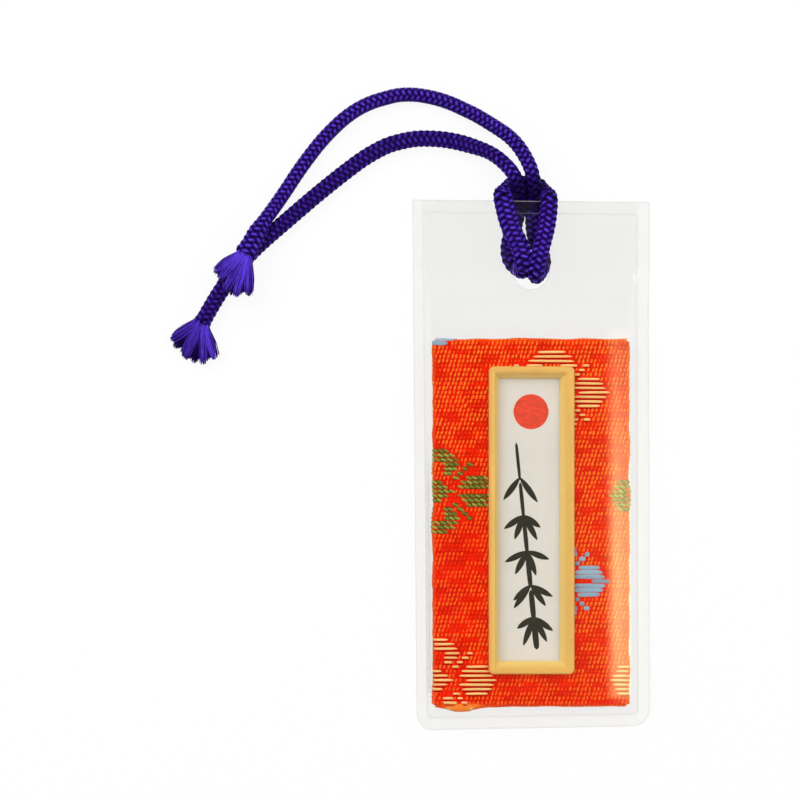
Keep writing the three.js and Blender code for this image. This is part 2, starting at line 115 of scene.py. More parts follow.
UPPER_TAIL_ROUTE = [
    (-2.7, 20, 3.15), (-3.65, 20.95, 2.7), (-4.8, 21.85, 2.15), (-6.3, 22.9, 1.6),
    (-8.3, 24.15, 1.25), (-10.3, 25.15, 1.15), (-12.3, 26.05, 1.15), (-14.4, 26.75, 1.15),
    (-16.5, 27.2, 1.15), (-18.4, 27.4, 1.15), (-20.5, 27.3, 1.15), (-22.4, 26.85, 1.15),
    (-24.5, 26.2, 1.15), (-26.5, 25.25, 1.15), (-28.5, 23.9, 1.15), (-30.5, 22.1, 1.15),
    (-32.5, 19.95, 1.15), (-34.5, 17.4, 1.15), (-36.2, 15, 1.15), (-37.7, 12.7, 1.2),
    (-39.4, 10.15, 1.6), (-41.1, 7.6, 2.65), (-42.3, 5.4, 3.5), (-43.75, 2.65, 3.75),
]


# Settings

def length(name, description, default):
    """A length in metres that the panel shows in the scene's unit."""
    return FloatProperty(
        name=name, description=description, default=default, min=0, unit="LENGTH", precision=5
    )


def amount(name, description, default, unit="NONE"):
    """A plain number, or a lamp's power in watts."""
    return FloatProperty(name=name, description=description, default=default, min=0, unit=unit)


def colour(name, description, default):
    """A colour in linear light."""
    return FloatVectorProperty(
        name=name, description=description, default=default, min=0, max=1, size=3, subtype="COLOR"
    )


class CordSettings(bpy.types.PropertyGroup):
    """The braided cord and its loosened ends."""

    diameter: length("Diameter", "Across the round braid", 0.0022)
    lay: length("Lay", "Length in which one yarn goes once round", 0.0037)
    yarn_width: length("Yarn width", "Width of one of the eight yarns", 0.00080)
    yarn_thickness: length("Yarn thickness", "Thickness of one yarn", 0.00038)
    fan_length: length("Fan length", "How far the loosened yarn reaches", 0.0062)
    # The yarn colours paint light and shade: light is a painted highlight on each yarn's crown,
    # dark is painted shade where a yarn dives under, and middle lies between them on its flank.
    light: colour("Light yarn", "Colour of a yarn's crown", (0.145, 0.062, 0.80))
    middle: colour("Yarn", "Colour of a yarn's flank", (0.030, 0.005, 0.20))
    dark: colour("Dark yarn", "Colour where a yarn dives under", (0.0022, 0.0003, 0.024))


class BrocadeSettings(bpy.types.PropertyGroup):
    """The woven cover of the card."""

    row_pitch: length("Row pitch", "From one weft row to the next", 0.00069)
    column_pitch: length("Column pitch", "From one warp float to the next along a row", 0.000615)
    repeat_across: length("Repeat across", "From one column of blossoms to the next", 0.0182)
    repeat_down: length("Repeat down", "From one blossom to the next below it", 0.02877)
    ground: colour("Ground", "Weft of the ground", (1.0, 0.014, 0.0003))
    warp: colour("Warp", "Warp floats of the ground", (1.0, 0.245, 0.022))
    gold: colour("Gold", "Gilt thread", (1.0, 0.60, 0.21))
    green: colour("Green", "Green thread", (0.24, 0.235, 0.035))
    blue: colour("Blue", "Blue thread", (0.25, 0.37, 0.47))


class CardSettings(bpy.types.PropertyGroup):
    """The moulded window, the title strip and the papers."""

    bezel: colour("Window frame", "Moulded cream plastic", (0.82, 0.49, 0.12))
    # The bevel colour is painted light: paler and yellower, so that the frame's walls read as lit
    # rather than shaded.
    bevel: colour("Frame bevel", "The same plastic where it is thin", (0.88, 0.64, 0.20))
    title: colour("Title strip", "Coated paper", (0.75, 0.72, 0.665))
    ink: colour("Ink", "Brushed sprig on the title strip", (0.012, 0.011, 0.010))
    vermilion: colour("Vermilion", "Stamped sun on the title strip", (0.72, 0.045, 0.02))
    lining: colour("Lining", "Paper over the back", (0.80, 0.75, 0.63))
    board: colour("Board", "Raw card inside the cover", (0.48, 0.41, 0.29))
    bezel_round: length("Bezel rounding", "Radius along the window's edges", 0.00035)


class SleeveSettings(bpy.types.PropertyGroup):
    """The clear sleeve."""

    thickness: length("Film", "Thickness of one film", 0.0003)
    weld: length("Weld", "Width of the weld round the edge", 0.0016)
    margin: length("Margin", "From the weld to the card", 0.0016)
    corner: length("Corner", "Radius of the bottom corners", 0.0027)
    ramp: length("Ramp", "Length over which the films close above the card", 0.0050)
    strip: length("Strip", "Length of the flat strip at the top", 0.0105)
    clearance: length("Clearance", "Room between the film and what it covers", 0.00025)
    travel: length("Travel", "Room in which the card slides", 0.0055)
    tint: colour("Tint", "Light passed at each face of fused film", (0.992, 0.991, 0.988))
    line: colour("Line tint", "Light passed at each face along edges", (0.93, 0.93, 0.925))


class StageSettings(bpy.types.PropertyGroup):
    """Floor, lights and camera."""

    camera_height: length("Camera height", "From the charm up to the camera", 0.30)
    view_width: length("View width", "Width seen at the charm", 0.1231)
    key: amount("Key", "Power of the large lamp", 2.8, "POWER")
    strip: amount("Strip", "Power of the narrow lamp", 2.1, "POWER")
    sky: amount("Sky", "Strength of the light from overhead", 0.005)
    ring: amount("Ring", "Strength of the light round the horizon", 0.62)
    top: amount("Top", "Power of the lamp overhead", 1.25, "POWER")


class CharmSettings(bpy.types.PropertyGroup):
    """All settings of the charm."""

    cord: PointerProperty(type=CordSettings)
    brocade: PointerProperty(type=BrocadeSettings)
    card: PointerProperty(type=CardSettings)
    sleeve: PointerProperty(type=SleeveSettings)
    stage: PointerProperty(type=StageSettings)


# Shaping with arrays

def smooth(low, high, value):
    """0 below low, 1 above high, and 3t2 - 2t3 between."""
    t = np.clip((value - low) / (high - low), 0, 1)
    return t * t * (3 - 2 * t)


def mix(a, b, share):
    """a where share is 0, b where it is 1."""
    return a + (b - a) * share


def unit(vectors):
    """Vectors scaled to length 1."""
    return vectors / np.linalg.norm(vectors, axis=-1, keepdims=True)


def ripple(x, y, wavelength, seed, waves=7):
    """A smooth uneven height of about -1 to 1: a sum of sines of about one wavelength, whose
    directions turn by the golden angle."""
    k = np.arange(waves)
    turn = seed + k * GOLDEN_ANGLE
    pace = 2 * np.pi / (wavelength * (0.7 + 0.6 * ((k * 0.618 + seed * 0.37) % 1)))
    along = np.asarray(x)[..., None] * np.cos(turn) + np.asarray(y)[..., None] * np.sin(turn)
    return np.sin(along * pace + 2.4 * (k + seed)).sum(-1) / math.sqrt(waves)


def grid_quads(rows, columns, wrap_rows=False, wrap_columns=False):
    """Quads of a grid of points stored row by row, joined end to end where it wraps."""
    i = np.arange(rows if wrap_rows else rows - 1)[:, None]
    j = np.arange(columns if wrap_columns else columns - 1)[None, :]
    a, b = i * columns, ((i + 1) % rows) * columns
    c, d = j, (j + 1) % columns
    return np.stack([a + c, a + d, b + d, b + c], -1).reshape(-1, 4)


def copies(faces, count, size):
    """The same faces for count shapes of size points each."""
    return (np.arange(count)[:, None, None] * size + faces).reshape(-1, faces.shape[1])


def tube_faces(count, rings, sides):
    """Walls and end caps of count tubes stored ring by ring, counter-clockwise round their way."""
    around = np.arange(sides)
    caps = np.stack([around[::-1], (rings - 1) * sides + around])
    walls = grid_quads(rings, sides, wrap_columns=True)
    return [copies(walls, count, rings * sides), copies(caps, count, rings * sides)]


def rounded_rings(half_width, half_length, corner, middle, long_steps, short_steps, corner_steps):
    """Rounded rectangles, one a row, with points that match from row to row: each column is a
    point of one quarter arc, or a share of the way from that arc's end to the next arc's start."""
    quarter, angle, following, share = [], [], [], []
    for q, steps in enumerate((short_steps, long_steps, short_steps, long_steps)):
        arc = np.linspace(q, q + 1, corner_steps + 1) * np.pi / 2
        straight = np.arange(1, steps) / steps
        quarter.append(np.full(corner_steps + steps, q))
        angle.append(np.concatenate([arc, np.full(steps - 1, arc[-1])]))
        following.append(np.repeat([q, (q + 1) % 4], [corner_steps + 1, steps - 1]))
        share.append(np.concatenate([np.zeros(corner_steps + 1), straight]))
    quarter, angle, following, share = map(np.concatenate, (quarter, angle, following, share))
    side = np.array([(1, 1), (-1, 1), (-1, -1), (1, -1)])
    size = np.stack([half_width, half_length], -1)[:, None, :]
    radius = np.asarray(corner, float)[:, None, None]
    turned = np.stack([np.cos(angle), np.sin(angle)], -1)
    here = side[quarter] * (size - radius) + radius * turned
    there = side[following] * (size - radius) + radius * turned
    flat = mix(here, there, share[:, None])
    flat[..., 1] += np.asarray(middle)[:, None]
    return flat


def smooth_line(route, spacing, steps=24):
    """A centripetal Catmull-Rom curve through the route, drawn in fine steps and then cut at even
    ones of about the spacing. Gives the run along it and its points."""
    p = np.asarray(route, float)
    p = np.concatenate([[2 * p[0] - p[1]], p, [2 * p[-1] - p[-2]]])
    step = np.sqrt(np.linalg.norm(np.diff(p, axis=0), axis=1))[:, None]
    before, span, after = step[:-2], step[1:-1], step[2:]
    a, b, c, d = p[:-3], p[1:-2], p[2:-1], p[3:]
    out = ((b - a) / before - (c - a) / (before + span) + (c - b) / span) * span
    into = ((c - b) / span - (d - b) / (span + after) + (d - c) / after) * span
    t = np.linspace(0, 1, steps, endpoint=False)[:, None, None]
    fine = b + out * t + (3 * (c - b) - 2 * out - into) * t**2 + (2 * (b - c) + out + into) * t**3
    fine = np.concatenate([fine.transpose(1, 0, 2).reshape(-1, 3), p[-2:-1]])
    run = np.concatenate([[0], np.cumsum(np.linalg.norm(np.diff(fine, axis=0), axis=1))])
    even = np.linspace(0, run[-1], int(run[-1] / spacing) + 1)
    return even, np.stack([np.interp(even, run, fine[:, k]) for k in range(3)], -1)


def steady_frames(line):
    """Way, side and up along a line. Side is square to a fixed slanted direction, and the twist
    that this gives it is summed and turned back, so the frame doesn't spin about the line."""
    slanted = np.array([0.37, 0.29, 0.88])
    way = unit(np.gradient(line, axis=0))
    side = unit(np.cross(slanted, way))
    up = np.cross(way, side)
    twist = np.cumsum((np.gradient(side, axis=0) * up).sum(-1))[:, None]
    return way, np.cos(twist) * side - np.sin(twist) * up, np.sin(twist) * side + np.cos(twist) * up


# Pieces and finishes

def add_piece(name, points, faces, material, body=None, uv=None, tone=None, crease=None):
    """An object from points in millimetres and arrays of faces, each array with one number of
    corners. uv and tone hold a value for each point, and crease is the angle that stays sharp."""
    mesh = bpy.data.meshes.new(name)
    points = np.ascontiguousarray(points, dtype=np.float32).reshape(-1, 3) * np.float32(MM)
    corners = np.concatenate([f.ravel() for f in faces]).astype(np.int32)
    sides = np.concatenate([np.full(len(f), f.shape[1]) for f in faces])
    mesh.vertices.add(len(points))
    mesh.vertices.foreach_set("co", points.ravel())
    mesh.loops.add(len(corners))
    mesh.loops.foreach_set("vertex_index", corners)
    mesh.polygons.add(len(sides))
    mesh.polygons.foreach_set("loop_start", (np.cumsum(sides) - sides).astype(np.int32))
    mesh.update(calc_edges=True)
    mesh.shade_smooth()
    if crease is not None:
        mesh.set_sharp_from_angle(angle=math.radians(crease))
    if uv is not None:
        layer = mesh.uv_layers.new(name="UVMap")
        layer.data.foreach_set("uv", np.asarray(uv, np.float32).reshape(-1, 2)[corners].ravel())
    if tone is not None:
        shade = mesh.attributes.new("tone", "FLOAT", "POINT")
        shade.data.foreach_set("value", np.asarray(tone, np.float32).ravel())
    mesh.materials.append(material)
    piece = bpy.data.objects.new(name, mesh)
    bpy.context.scene.collection.objects.link(piece)
    if body:
        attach(piece, body)
    return piece


def thick_sheet(flat, quads, under, thickness):
    """A sheet of even height over a flat net of quads. The net's points that coincide are joined,
    and every open edge gets a wall."""
    _, first, joined = np.unique(np.round(flat, 5), axis=0, return_index=True, return_inverse=True)
    flat, quads = flat[first], joined.ravel()[quads]
    low = np.column_stack([flat, under(flat[:, 0], flat[:, 1])])
    high = low + [0, 0, thickness]
    edges = np.stack([quads, np.roll(quads, -1, axis=1)], -1).reshape(-1, 2)
    count = len(flat)
    open_edges = edges[~np.isin(edges @ [1, count], edges @ [count, 1])]
    a, b = open_edges.T
    walls = np.stack([a, b, b + count, a + count], -1)
    return np.concatenate([low, high]), [quads[:, ::-1], quads + count, walls]


WHITE = (1.0, 1.0, 1.0, 1.0)


class Finish:
    """The nodes of one material, or of the world."""

    def __init__(self, name, world=False):
        self.made = (bpy.data.worlds if world else bpy.data.materials).new(name)
        self.made.use_nodes = True
        self.tree = self.made.node_tree
        self.tree.nodes.clear()

    def add(self, kind, inputs=None, **settings):
        """A node of this kind; an input is a value or another node's output."""
        node = self.tree.nodes.new("ShaderNode" + kind)
        for key, value in settings.items():
            setattr(node, key, value)
        for key, value in (inputs or {}).items():
            socket = node.inputs[key]
            if isinstance(value, bpy.types.NodeSocket):
                self.tree.links.new(value, socket)
            else:
                socket.default_value = value
        return node

    def place(self, source, scale):
        """A coordinate of the piece, scaled."""
        coordinate = self.add("TexCoord").outputs[source]
        return self.add("Mapping", {"Vector": coordinate, "Scale": scale}).outputs["Vector"]

    def tone(self):
        """The shade that each point of the piece holds."""
        return self.add("Attribute", attribute_name="tone").outputs["Fac"]

    def noise(self, vector, scale=1.0, detail=3.0, roughness=0.55):
        """Smooth noise from 0 to 1."""
        inputs = {"Vector": vector, "Scale": scale, "Detail": detail, "Roughness": roughness}
        return self.add("TexNoise", inputs).outputs["Fac"]

    def span(self, value, low, high, new_low=0.0, new_high=1.0):
        """A value's range carried to another range."""
        inputs = {
            "Value": value, "From Min": low, "From Max": high, "To Min": new_low, "To Max": new_high
        }
        return self.add("MapRange", inputs).outputs["Result"]

    def math(self, operation, a, b=0.0):
        """Arithmetic on two values."""
        return self.add("Math", {0: a, 1: b}, operation=operation).outputs[0]

    def blend(self, share, a, b):
        """A colour between a and b."""
        a, b = ((*c, 1.0) if isinstance(c, tuple) else c for c in (a, b))
        return self.add("Mix", {0: share, 6: a, 7: b}, data_type="RGBA").outputs[2]

    def bump(self, height, distance, strength=1.0):
        """A normal that follows a height in metres times the distance."""
        inputs = {"Height": height, "Distance": distance, "Strength": strength}
        return self.add("Bump", inputs).outputs["Normal"]

    def layer(self, share, under, over):
        """One shader over another by a share."""
        return self.add("MixShader", {0: share, 1: under, 2: over}).outputs[0]

    def surface(self, shader, output="OutputMaterial"):
        """Sends a shader to the output and gives what was made."""
        self.add(output, {"Surface": shader})
        return self.made

    def principled(self, **inputs):
        """A Principled surface; underscores in names stand for spaces."""
        named = {key.replace("_", " "): value for key, value in inputs.items()}
        return self.surface(self.add("BsdfPrincipled", named).outputs["BSDF"])


def rgb(value, share=1.0):
    """A setting's colour times a share, as a plain tuple."""
    return tuple(min(1.0, c * share) for c in value)


def yarn_finish(cord):
    """Bright untwisted rayon: filaments run along each yarn. Its colour follows the tone, which is
    painted light: a painted highlight on each yarn's crown, and painted shade on its flanks and
    where it dives under.
    """
    f = Finish("cord_yarn")
    filament = f.noise(f.place("UV", (0.55, 15.0, 1.0)), detail=2.0)
    # lit is the tone's painted light, streaked by the filaments: it picks the painted shade, flank
    # and highlight colours.
    lit = f.math("MULTIPLY", f.tone(), f.span(filament, 0.3, 0.72, 0.6, 1.15))
    flank = f.blend(f.span(lit, 0.06, 0.62), rgb(cord.dark), rgb(cord.middle))
    return f.principled(
        Base_Color=f.blend(f.span(lit, 0.55, 1.0), flank, rgb(cord.light)),
        Roughness=f.span(filament, 0.3, 0.7, 0.5, 0.34),
        Specular_IOR_Level=0.04,
        Normal=f.bump(filament, 0.00006, 0.7),
    )


def ground_finish(brocade):
    """The weft of the ground: fine threads that run across, with slubs, and painted lighter and
    more orange on the fold and the edges, as painted light.
    """
    f = Finish("brocade_ground")
    threads = f.noise(f.place("Object", (700.0, 9000.0, 9000.0)), detail=2.0)
    clouds = f.noise(f.place("Object", (260.0, 420.0, 420.0)))
    share = f.span(f.math("ADD", threads, clouds), 0.7, 1.35)
    weft = f.blend(share, rgb(brocade.ground, 0.62), rgb(brocade.ground, 1.1))
    return f.principled(
        Base_Color=f.blend(f.tone(), weft, rgb(brocade.warp)),
        Roughness=0.62,
        Specular_IOR_Level=0.01,
        Normal=f.bump(threads, 0.00006, 0.8),
    )


def float_finish(name, low, high, roughness, lines=(1.4, 9.0)):
    """Floating threads: each has its own tone, and fine filaments along it."""
    f = Finish(name)
    filament = f.noise(f.place("UV", (*lines, 1.0)), detail=2.0)
    share = f.span(f.math("ADD", f.tone(), f.math("MULTIPLY", filament, 0.6)), 0.2, 1.35)
    return f.principled(
        Base_Color=f.blend(share, low, high),
        Roughness=f.span(filament, 0.3, 0.7, roughness + 0.08, roughness - 0.08),
        Specular_IOR_Level=0.02,
        Normal=f.bump(filament, 0.00005, 0.6),
    )


def plastic_finish(card):
    """Cream moulded plastic, slightly waxy, with a fine grain and a faint flow mottle. Down the
    bevel it is painted paler and yellower, painted light that lifts the walls out of their shade."""
    f = Finish("frame_plastic")
    grain = f.noise(f.place("Object", (5200.0, 5200.0, 5200.0)), detail=2.0)
    flow = f.noise(f.place("Object", (140.0, 90.0, 300.0)))
    mottle = f.blend(f.span(flow, 0.3, 0.7), rgb(card.bezel, 0.94), rgb(card.bezel, 1.05))
    return f.principled(
        Base_Color=f.blend(f.tone(), mottle, rgb(card.bevel)),
        Roughness=f.span(grain, 0.3, 0.7, 0.36, 0.48),
        Specular_IOR_Level=0.45,
        Subsurface_Weight=0.5,
        Subsurface_Radius=(0.0012, 0.0008, 0.0004),
        Normal=f.bump(grain, 0.00002, 0.35),
    )


def paper_finish(name, tint, depth, fibre=(900.0, 260.0, 900.0)):
    """Paper with long pale fibres and a soft cloud."""
    f = Finish(name)
    fibres = f.noise(f.place("Object", fibre), detail=5.0, roughness=0.7)
    cloud = f.noise(f.place("Object", (120.0, 120.0, 120.0)))
    share = f.span(f.math("ADD", fibres, cloud), 0.7, 1.3)
    return f.principled(
        Base_Color=f.blend(share, rgb(tint, 1 - depth), rgb(tint, 1 + depth / 2)),
        Roughness=f.span(fibres, 0.3, 0.7, 0.72, 0.9),
        Specular_IOR_Level=0.25,
        Normal=f.bump(fibres, 0.00003, 0.5),
    )


def ink_finish(name, tint):
    """Brushed or stamped ink, a little uneven."""
    f = Finish(name)
    dry = f.noise(f.place("Object", (700.0, 2400.0, 700.0)), detail=4.0)
    return f.principled(
        Base_Color=f.blend(f.span(dry, 0.4, 0.75), rgb(tint), rgb(tint, 1.5)),
        Roughness=f.span(dry, 0.3, 0.7, 0.55, 0.75),
        Specular_IOR_Level=0.3,
    )


def vinyl_finish(sleeve):
    """Clear film: a pale tint passes straight through each face, and the share that is mirrored
    grows as the fifth power of the slant, over a trace of haze."""
    f = Finish("clear_vinyl")
    waves = f.noise(f.place("Object", (110.0, 60.0, 110.0)), detail=2.0)
    normal = f.bump(waves, 0.0002, 0.10)
    tone = f.tone()
    tint = f.blend(tone, rgb(sleeve.tint), rgb(sleeve.line))
    clear = f.add("BsdfTransparent", {"Color": tint}).outputs[0]
    haze = f.add("BsdfDiffuse", {"Color": (0.9, 0.9, 0.92, 1.0), "Normal": normal}).outputs[0]
    mirror = {"Color": WHITE, "Roughness": 0.25, "Normal": normal}
    gloss = f.add("BsdfGlossy", mirror).outputs[0]
    body = f.layer(f.span(tone, 0.45, 1.1, 0.0, 0.22), clear, haze)
    slant = f.add("LayerWeight", {"Blend": 0.5, "Normal": normal}).outputs["Facing"]
    mirrored = f.span(f.math("POWER", slant, 5.0), 0.0, 1.0, 0.014, 0.85)
    return f.surface(f.layer(mirrored, body, gloss))


def settings():
    """The charm's settings in the current scene."""
    return bpy.context.scene.omamori


# Stage

# The tint of the lamps that only mirrors see, and the upward parts of a direction between which
# the light round the horizon gives way to the light from overhead.
GLINT_TINT = (1.0, 0.92, 0.40)
SKY_FADE = (0.78, 0.94)
# The camera's sensor in millimetres, and in metres what it looks at and the nearest thing it sees.
SENSOR = 36.0
VIEW_MIDDLE = (-0.02015, 0.0100)
VIEW_LEVEL = 0.0025
NEAREST = 0.01
# The floor's rings and level, and the share of it that is plain white to sight.
FLOOR_RADII = (1.0, 400.0, 4000.0)
FLOOR_SIDES = 96
FLOOR_LEVEL = -0.02
FLOOR_WHITE = 0.90


class CHARM_OT_stage(bpy.types.Operator):
    """Set the pale floor, the soft lamps and the camera that looks straight down"""

    bl_idname = "charm.stage"
    bl_label = "Stage"

    def execute(self, context):
        stage = settings().stage
        scene = context.scene
        scene.view_settings.view_transform = "Standard"
        self.floor()
        scene.world = self.sky(stage)
        for lamp in (
            ("key_lamp", (-0.40, 0.36, 0.54), (0.5, 0.5), stage.key),
            ("side_lamp", (0.42, 0.20, 0.50), (0.5, 0.5), 0.5 * stage.key),
            ("top_lamp", (-0.05, 0.10, 0.75), (0.6, 0.6), stage.top),
            ("wide_strip_lamp", (0.264, -0.08, 0.670), (0.151, 0.17), 0.32 * stage.strip, True),
            ("near_strip_lamp", (0.381, -0.08, 0.611), (0.126, 0.17), stage.strip, True),
        ):
            self.lamp(*lamp)
        camera = bpy.data.objects.new("camera", bpy.data.cameras.new("camera"))
        camera.location = (*VIEW_MIDDLE, stage.camera_height + VIEW_LEVEL)
        camera.data.sensor_width = SENSOR
        camera.data.lens = SENSOR * stage.camera_height / stage.view_width
        camera.data.clip_start = NEAREST
        scene.collection.objects.link(camera)
        scene.camera = camera
        return {"FINISHED"}

    def floor(self):
        """A disc just under the charm: white to sight and to mirrors, with a faint soft shadow."""
        f = Finish("floor")
        path = f.add("LightPath").outputs
        mirrored = f.math("MAXIMUM", path["Is Glossy Ray"], path["Is Transmission Ray"])
        seen = f.math("MAXIMUM", path["Is Camera Ray"], mirrored)
        white = f.add("Emission", {"Color": WHITE, "Strength": 1.0}).outputs[0]
        matte = f.add("BsdfDiffuse", {"Color": (0.9, 0.9, 0.9, 1.0)}).outputs[0]
        material = f.surface(f.layer(f.math("MULTIPLY", seen, FLOOR_WHITE), matte, white))
        angle = np.linspace(0, 2 * np.pi, FLOOR_SIDES, endpoint=False)
        circle = np.stack([np.cos(angle), np.sin(angle)], -1)
        circles = np.array(FLOOR_RADII)[:, None, None] * circle
        disc = np.concatenate([circles, np.full((*circles.shape[:2], 1), FLOOR_LEVEL)], -1)
        quads = grid_quads(len(FLOOR_RADII), FLOOR_SIDES, wrap_columns=True)[:, ::-1]
        cap = np.arange(FLOOR_SIDES)[None, :]
        add_piece("floor", disc, [quads, cap], material)

    def sky(self, stage):
        """White to sight. As light it is bright round the horizon and dim overhead."""
        f = Finish("studio", world=True)
        height = f.add("SeparateXYZ", {0: f.add("TexCoord").outputs["Generated"]}).outputs["Z"]
        light = f.span(height, *SKY_FADE, stage.ring, stage.sky)
        strength = f.math("MAXIMUM", light, f.add("LightPath").outputs["Is Camera Ray"])
        back = f.add("Background", {"Color": WHITE, "Strength": strength})
        return f.surface(back.outputs[0], "OutputWorld")

    def lamp(self, name, place, size, power, glint=False):
        """A rectangular soft lamp aimed at the charm. One for glints is tinted and seen only in
        mirrors, and the other only lights."""
        light = bpy.data.lights.new(name, "AREA")
        light.shape = "RECTANGLE"
        light.size, light.size_y = size
        light.energy = power
        light.color = GLINT_TINT if glint else WHITE[:3]
        lamp = bpy.data.objects.new(name, light)
        lamp.location = place
        lamp.rotation_euler = (-lamp.location).to_track_quat("-Z", "Y").to_euler()
        lamp.visible_diffuse, lamp.visible_glossy = not glint, glint
        bpy.context.scene.collection.objects.link(lamp)


# Cord

# Lengths are millimetres, and a fan's heading and spread are degrees.
CORD_STEP = 0.06
YARNS = 8
YARN_SIDES = 6
YARN_SWAY = 0.07
CORE_SIDES = 10
CORE_RADIUS = 0.78
FAN_LOCKS = 9
LOCK_HAIRS = 140
HAIR_RINGS = 8
HAIR_SIDES = 4
HAIR_RADIUS = 0.05
LOWEST_HAIR = 0.09
LOWER_FAN = {"heading": 253.0, "spread": 36.0, "tip": 0.75, "lean": 0.0, "seed": 3}
UPPER_FAN = {"heading": 241.0, "spread": 34.0, "tip": 3.4, "lean": 0.10, "seed": 5}
# Steps of the cord over which each tail goes from following the sleeve to following its swing.
LOWER_BLEND, UPPER_BLEND = 450, 460


def cord_line():
    """The whole cord from the lower tail's end to the upper tail's end: run, points and frames,
    with the steps at which the hitch begins and ends."""
    lower = LOWER_TAIL_ROUTE[::-1]
    route = np.array(lower + HITCH_ROUTE + UPPER_TAIL_ROUTE) + HOLE
    run, line = smooth_line(route, CORD_STEP)
    way, side, up = steady_frames(line)
    ends = np.array([HITCH_ROUTE[1], HITCH_ROUTE[-2]]) + HOLE
    cuts = [int(np.argmin(np.linalg.norm(line - end, axis=1))) for end in ends]
    return {"run": run, "line": line, "way": way, "side": side, "up": up, "cuts": cuts}


def tail_breadth(whole):
    """How far the tails are drawn wider than round: the lower one lies flatter, and both flare in
    the last two millimetres before their frayed ends."""
    run = whole["run"]
    start = run[whole["cuts"][0]]
    lower = 0.15 * (1 - smooth(start - 8, start - 3, run))
    ends = 0.22 * (1 - smooth(0.0, 2.0, run)) + 0.22 * smooth(run[-1] - 2.0, run[-1], run)
    return np.maximum(lower, ends)


def hitch_breadth(x, y, z):
    """How far the hitch is drawn wider than round, at a place from the hole's middle: its legs over
    the front film, its bight under the tails and its way behind the film."""
    bight = smooth(12.2, 13.0, y) * (1 - smooth(1.8, 2.8, z)) * (np.abs(x + 0.8) < 6) * (y < 15)
    behind = (z < 1.6) * smooth(0.0, 2.0, y) * (y < 11.5) * (np.abs(x) < 5)
    leg = smooth(2.4, 3.5, z) * (1 - smooth(12.3, 14.5, y)) * np.where(x < 0, 0.34, 0.20)
    return leg + 0.4 * bight + 0.16 * behind


def cord_shade(x, y, along):
    """Painted shade in the cord's colour: darker between the hitch's legs, and a little darker
    along the lower tail, whose run along from the hitch is negative."""
    held = smooth(8.5, 10.5, y) * (1 - smooth(13.2, 15.5, y))
    held = held * smooth(-2.9, -2.3, x) * (1 - smooth(2.2, 2.8, x))
    return (1 - 0.6 * held) * mix(0.82, 1.0, smooth(0.0, 6.0, along + 4.0))


def ring_points(centre, a, b, sides):
    """A ring round each centre, at the cosine of a point's angle along a and its sine along b."""
    turn = np.arange(sides) * 2 * np.pi / sides
    cos, sin = np.cos(turn)[:, None], np.sin(turn)[:, None]
    return centre[..., None, :] + cos * a[..., None, :] + sin * b[..., None, :]


def braid(cord, whole, first, last):
    """Eight yarns round a core between two rings of the cord. Four turn each way at the lay, and a
    yarn's distance from the axis follows the cosine of four times its angle, outward for one hand
    where it is inward for the other, so that each goes over one and under one. The cord is then
    drawn wide along the floor and as much thinner upward, where it lies flat."""
    pick = slice(first, last + 1)
    run, line, side, up = (whole[k][pick] for k in ("run", "line", "side", "up"))
    count = len(run)
    k = np.arange(YARNS)[:, None]
    hand = np.where(k < YARNS / 2, 1.0, -1.0)
    angle = hand * (2 * np.pi * run / (cord.lay / MM)) + (k % 4) * np.pi / 2
    bead = hand * np.cos(4 * angle)
    wave = 0.5 * bead + 0.5 * bead / np.sqrt(bead**2 + 0.12)
    thick, wide = cord.yarn_thickness / MM, cord.yarn_width / MM
    radius = cord.diameter / MM / 2 + 0.05 - thick / 2 - YARN_SWAY + YARN_SWAY * wave
    out = np.cos(angle)[..., None] * side + np.sin(angle)[..., None] * up
    centre = line + radius[..., None] * out
    way = unit(np.gradient(centre, axis=1))
    across = unit(np.cross(way, out))
    lift = np.cross(across, way)
    yarns = ring_points(centre, thick / 2 * lift, wide / 2 * across, YARN_SIDES).reshape(-1, 3)
    core = ring_points(line, CORE_RADIUS * side, CORE_RADIUS * up, CORE_SIDES).reshape(-1, 3)
    points = np.concatenate([yarns, core])
    ring = np.arange(count)
    owner = np.tile(np.repeat(ring, YARN_SIDES), YARNS)
    owner = np.concatenate([owner, np.repeat(ring, CORE_SIDES)])
    middle, heading = line[owner], whole["way"][pick][owner]
    flat = unit(np.cross([0.0, 0.0, 1.0], heading) + [1e-9, 0, 0])
    proud = np.cross(heading, flat)
    x, y, z = (middle - HOLE).T
    broad = (hitch_breadth(x, y, z) + tail_breadth(whole)[pick][owner])[:, None]
    offset = points - middle
    points = points + broad * (offset * flat).sum(-1, keepdims=True) * flat
    points = points - broad / (1 + broad) * (offset * proud).sum(-1, keepdims=True) * proud
    turn = np.arange(YARN_SIDES) * 2 * np.pi / YARN_SIDES
    along = np.broadcast_to((run + 7.3 * k)[..., None], (YARNS, count, YARN_SIDES))
    around = np.broadcast_to(turn / (2 * np.pi), along.shape)
    uv = np.concatenate([np.stack([along, around], -1).reshape(-1, 2), np.zeros((len(core), 2))])
    # The tone is painted light: a painted highlight on each yarn's crown where it rides over,
    # painted shade on its flanks and where it dives under, times the painted shade of cord_shade.
    # The core is painted dark.
    crown = smooth(-0.35, 0.95, bead)[..., None] * smooth(0.1, 1.0, np.cos(turn))
    from_hitch = run[owner] - whole["run"][whole["cuts"][0]]
    tone = np.concatenate([crown.ravel(), np.zeros(len(core))]) * cord_shade(x, y, from_hitch)
    faces = tube_faces(YARNS, count, YARN_SIDES)
    faces += [f + len(yarns) for f in tube_faces(1, count, CORE_SIDES)]
    return points, faces, uv, tone


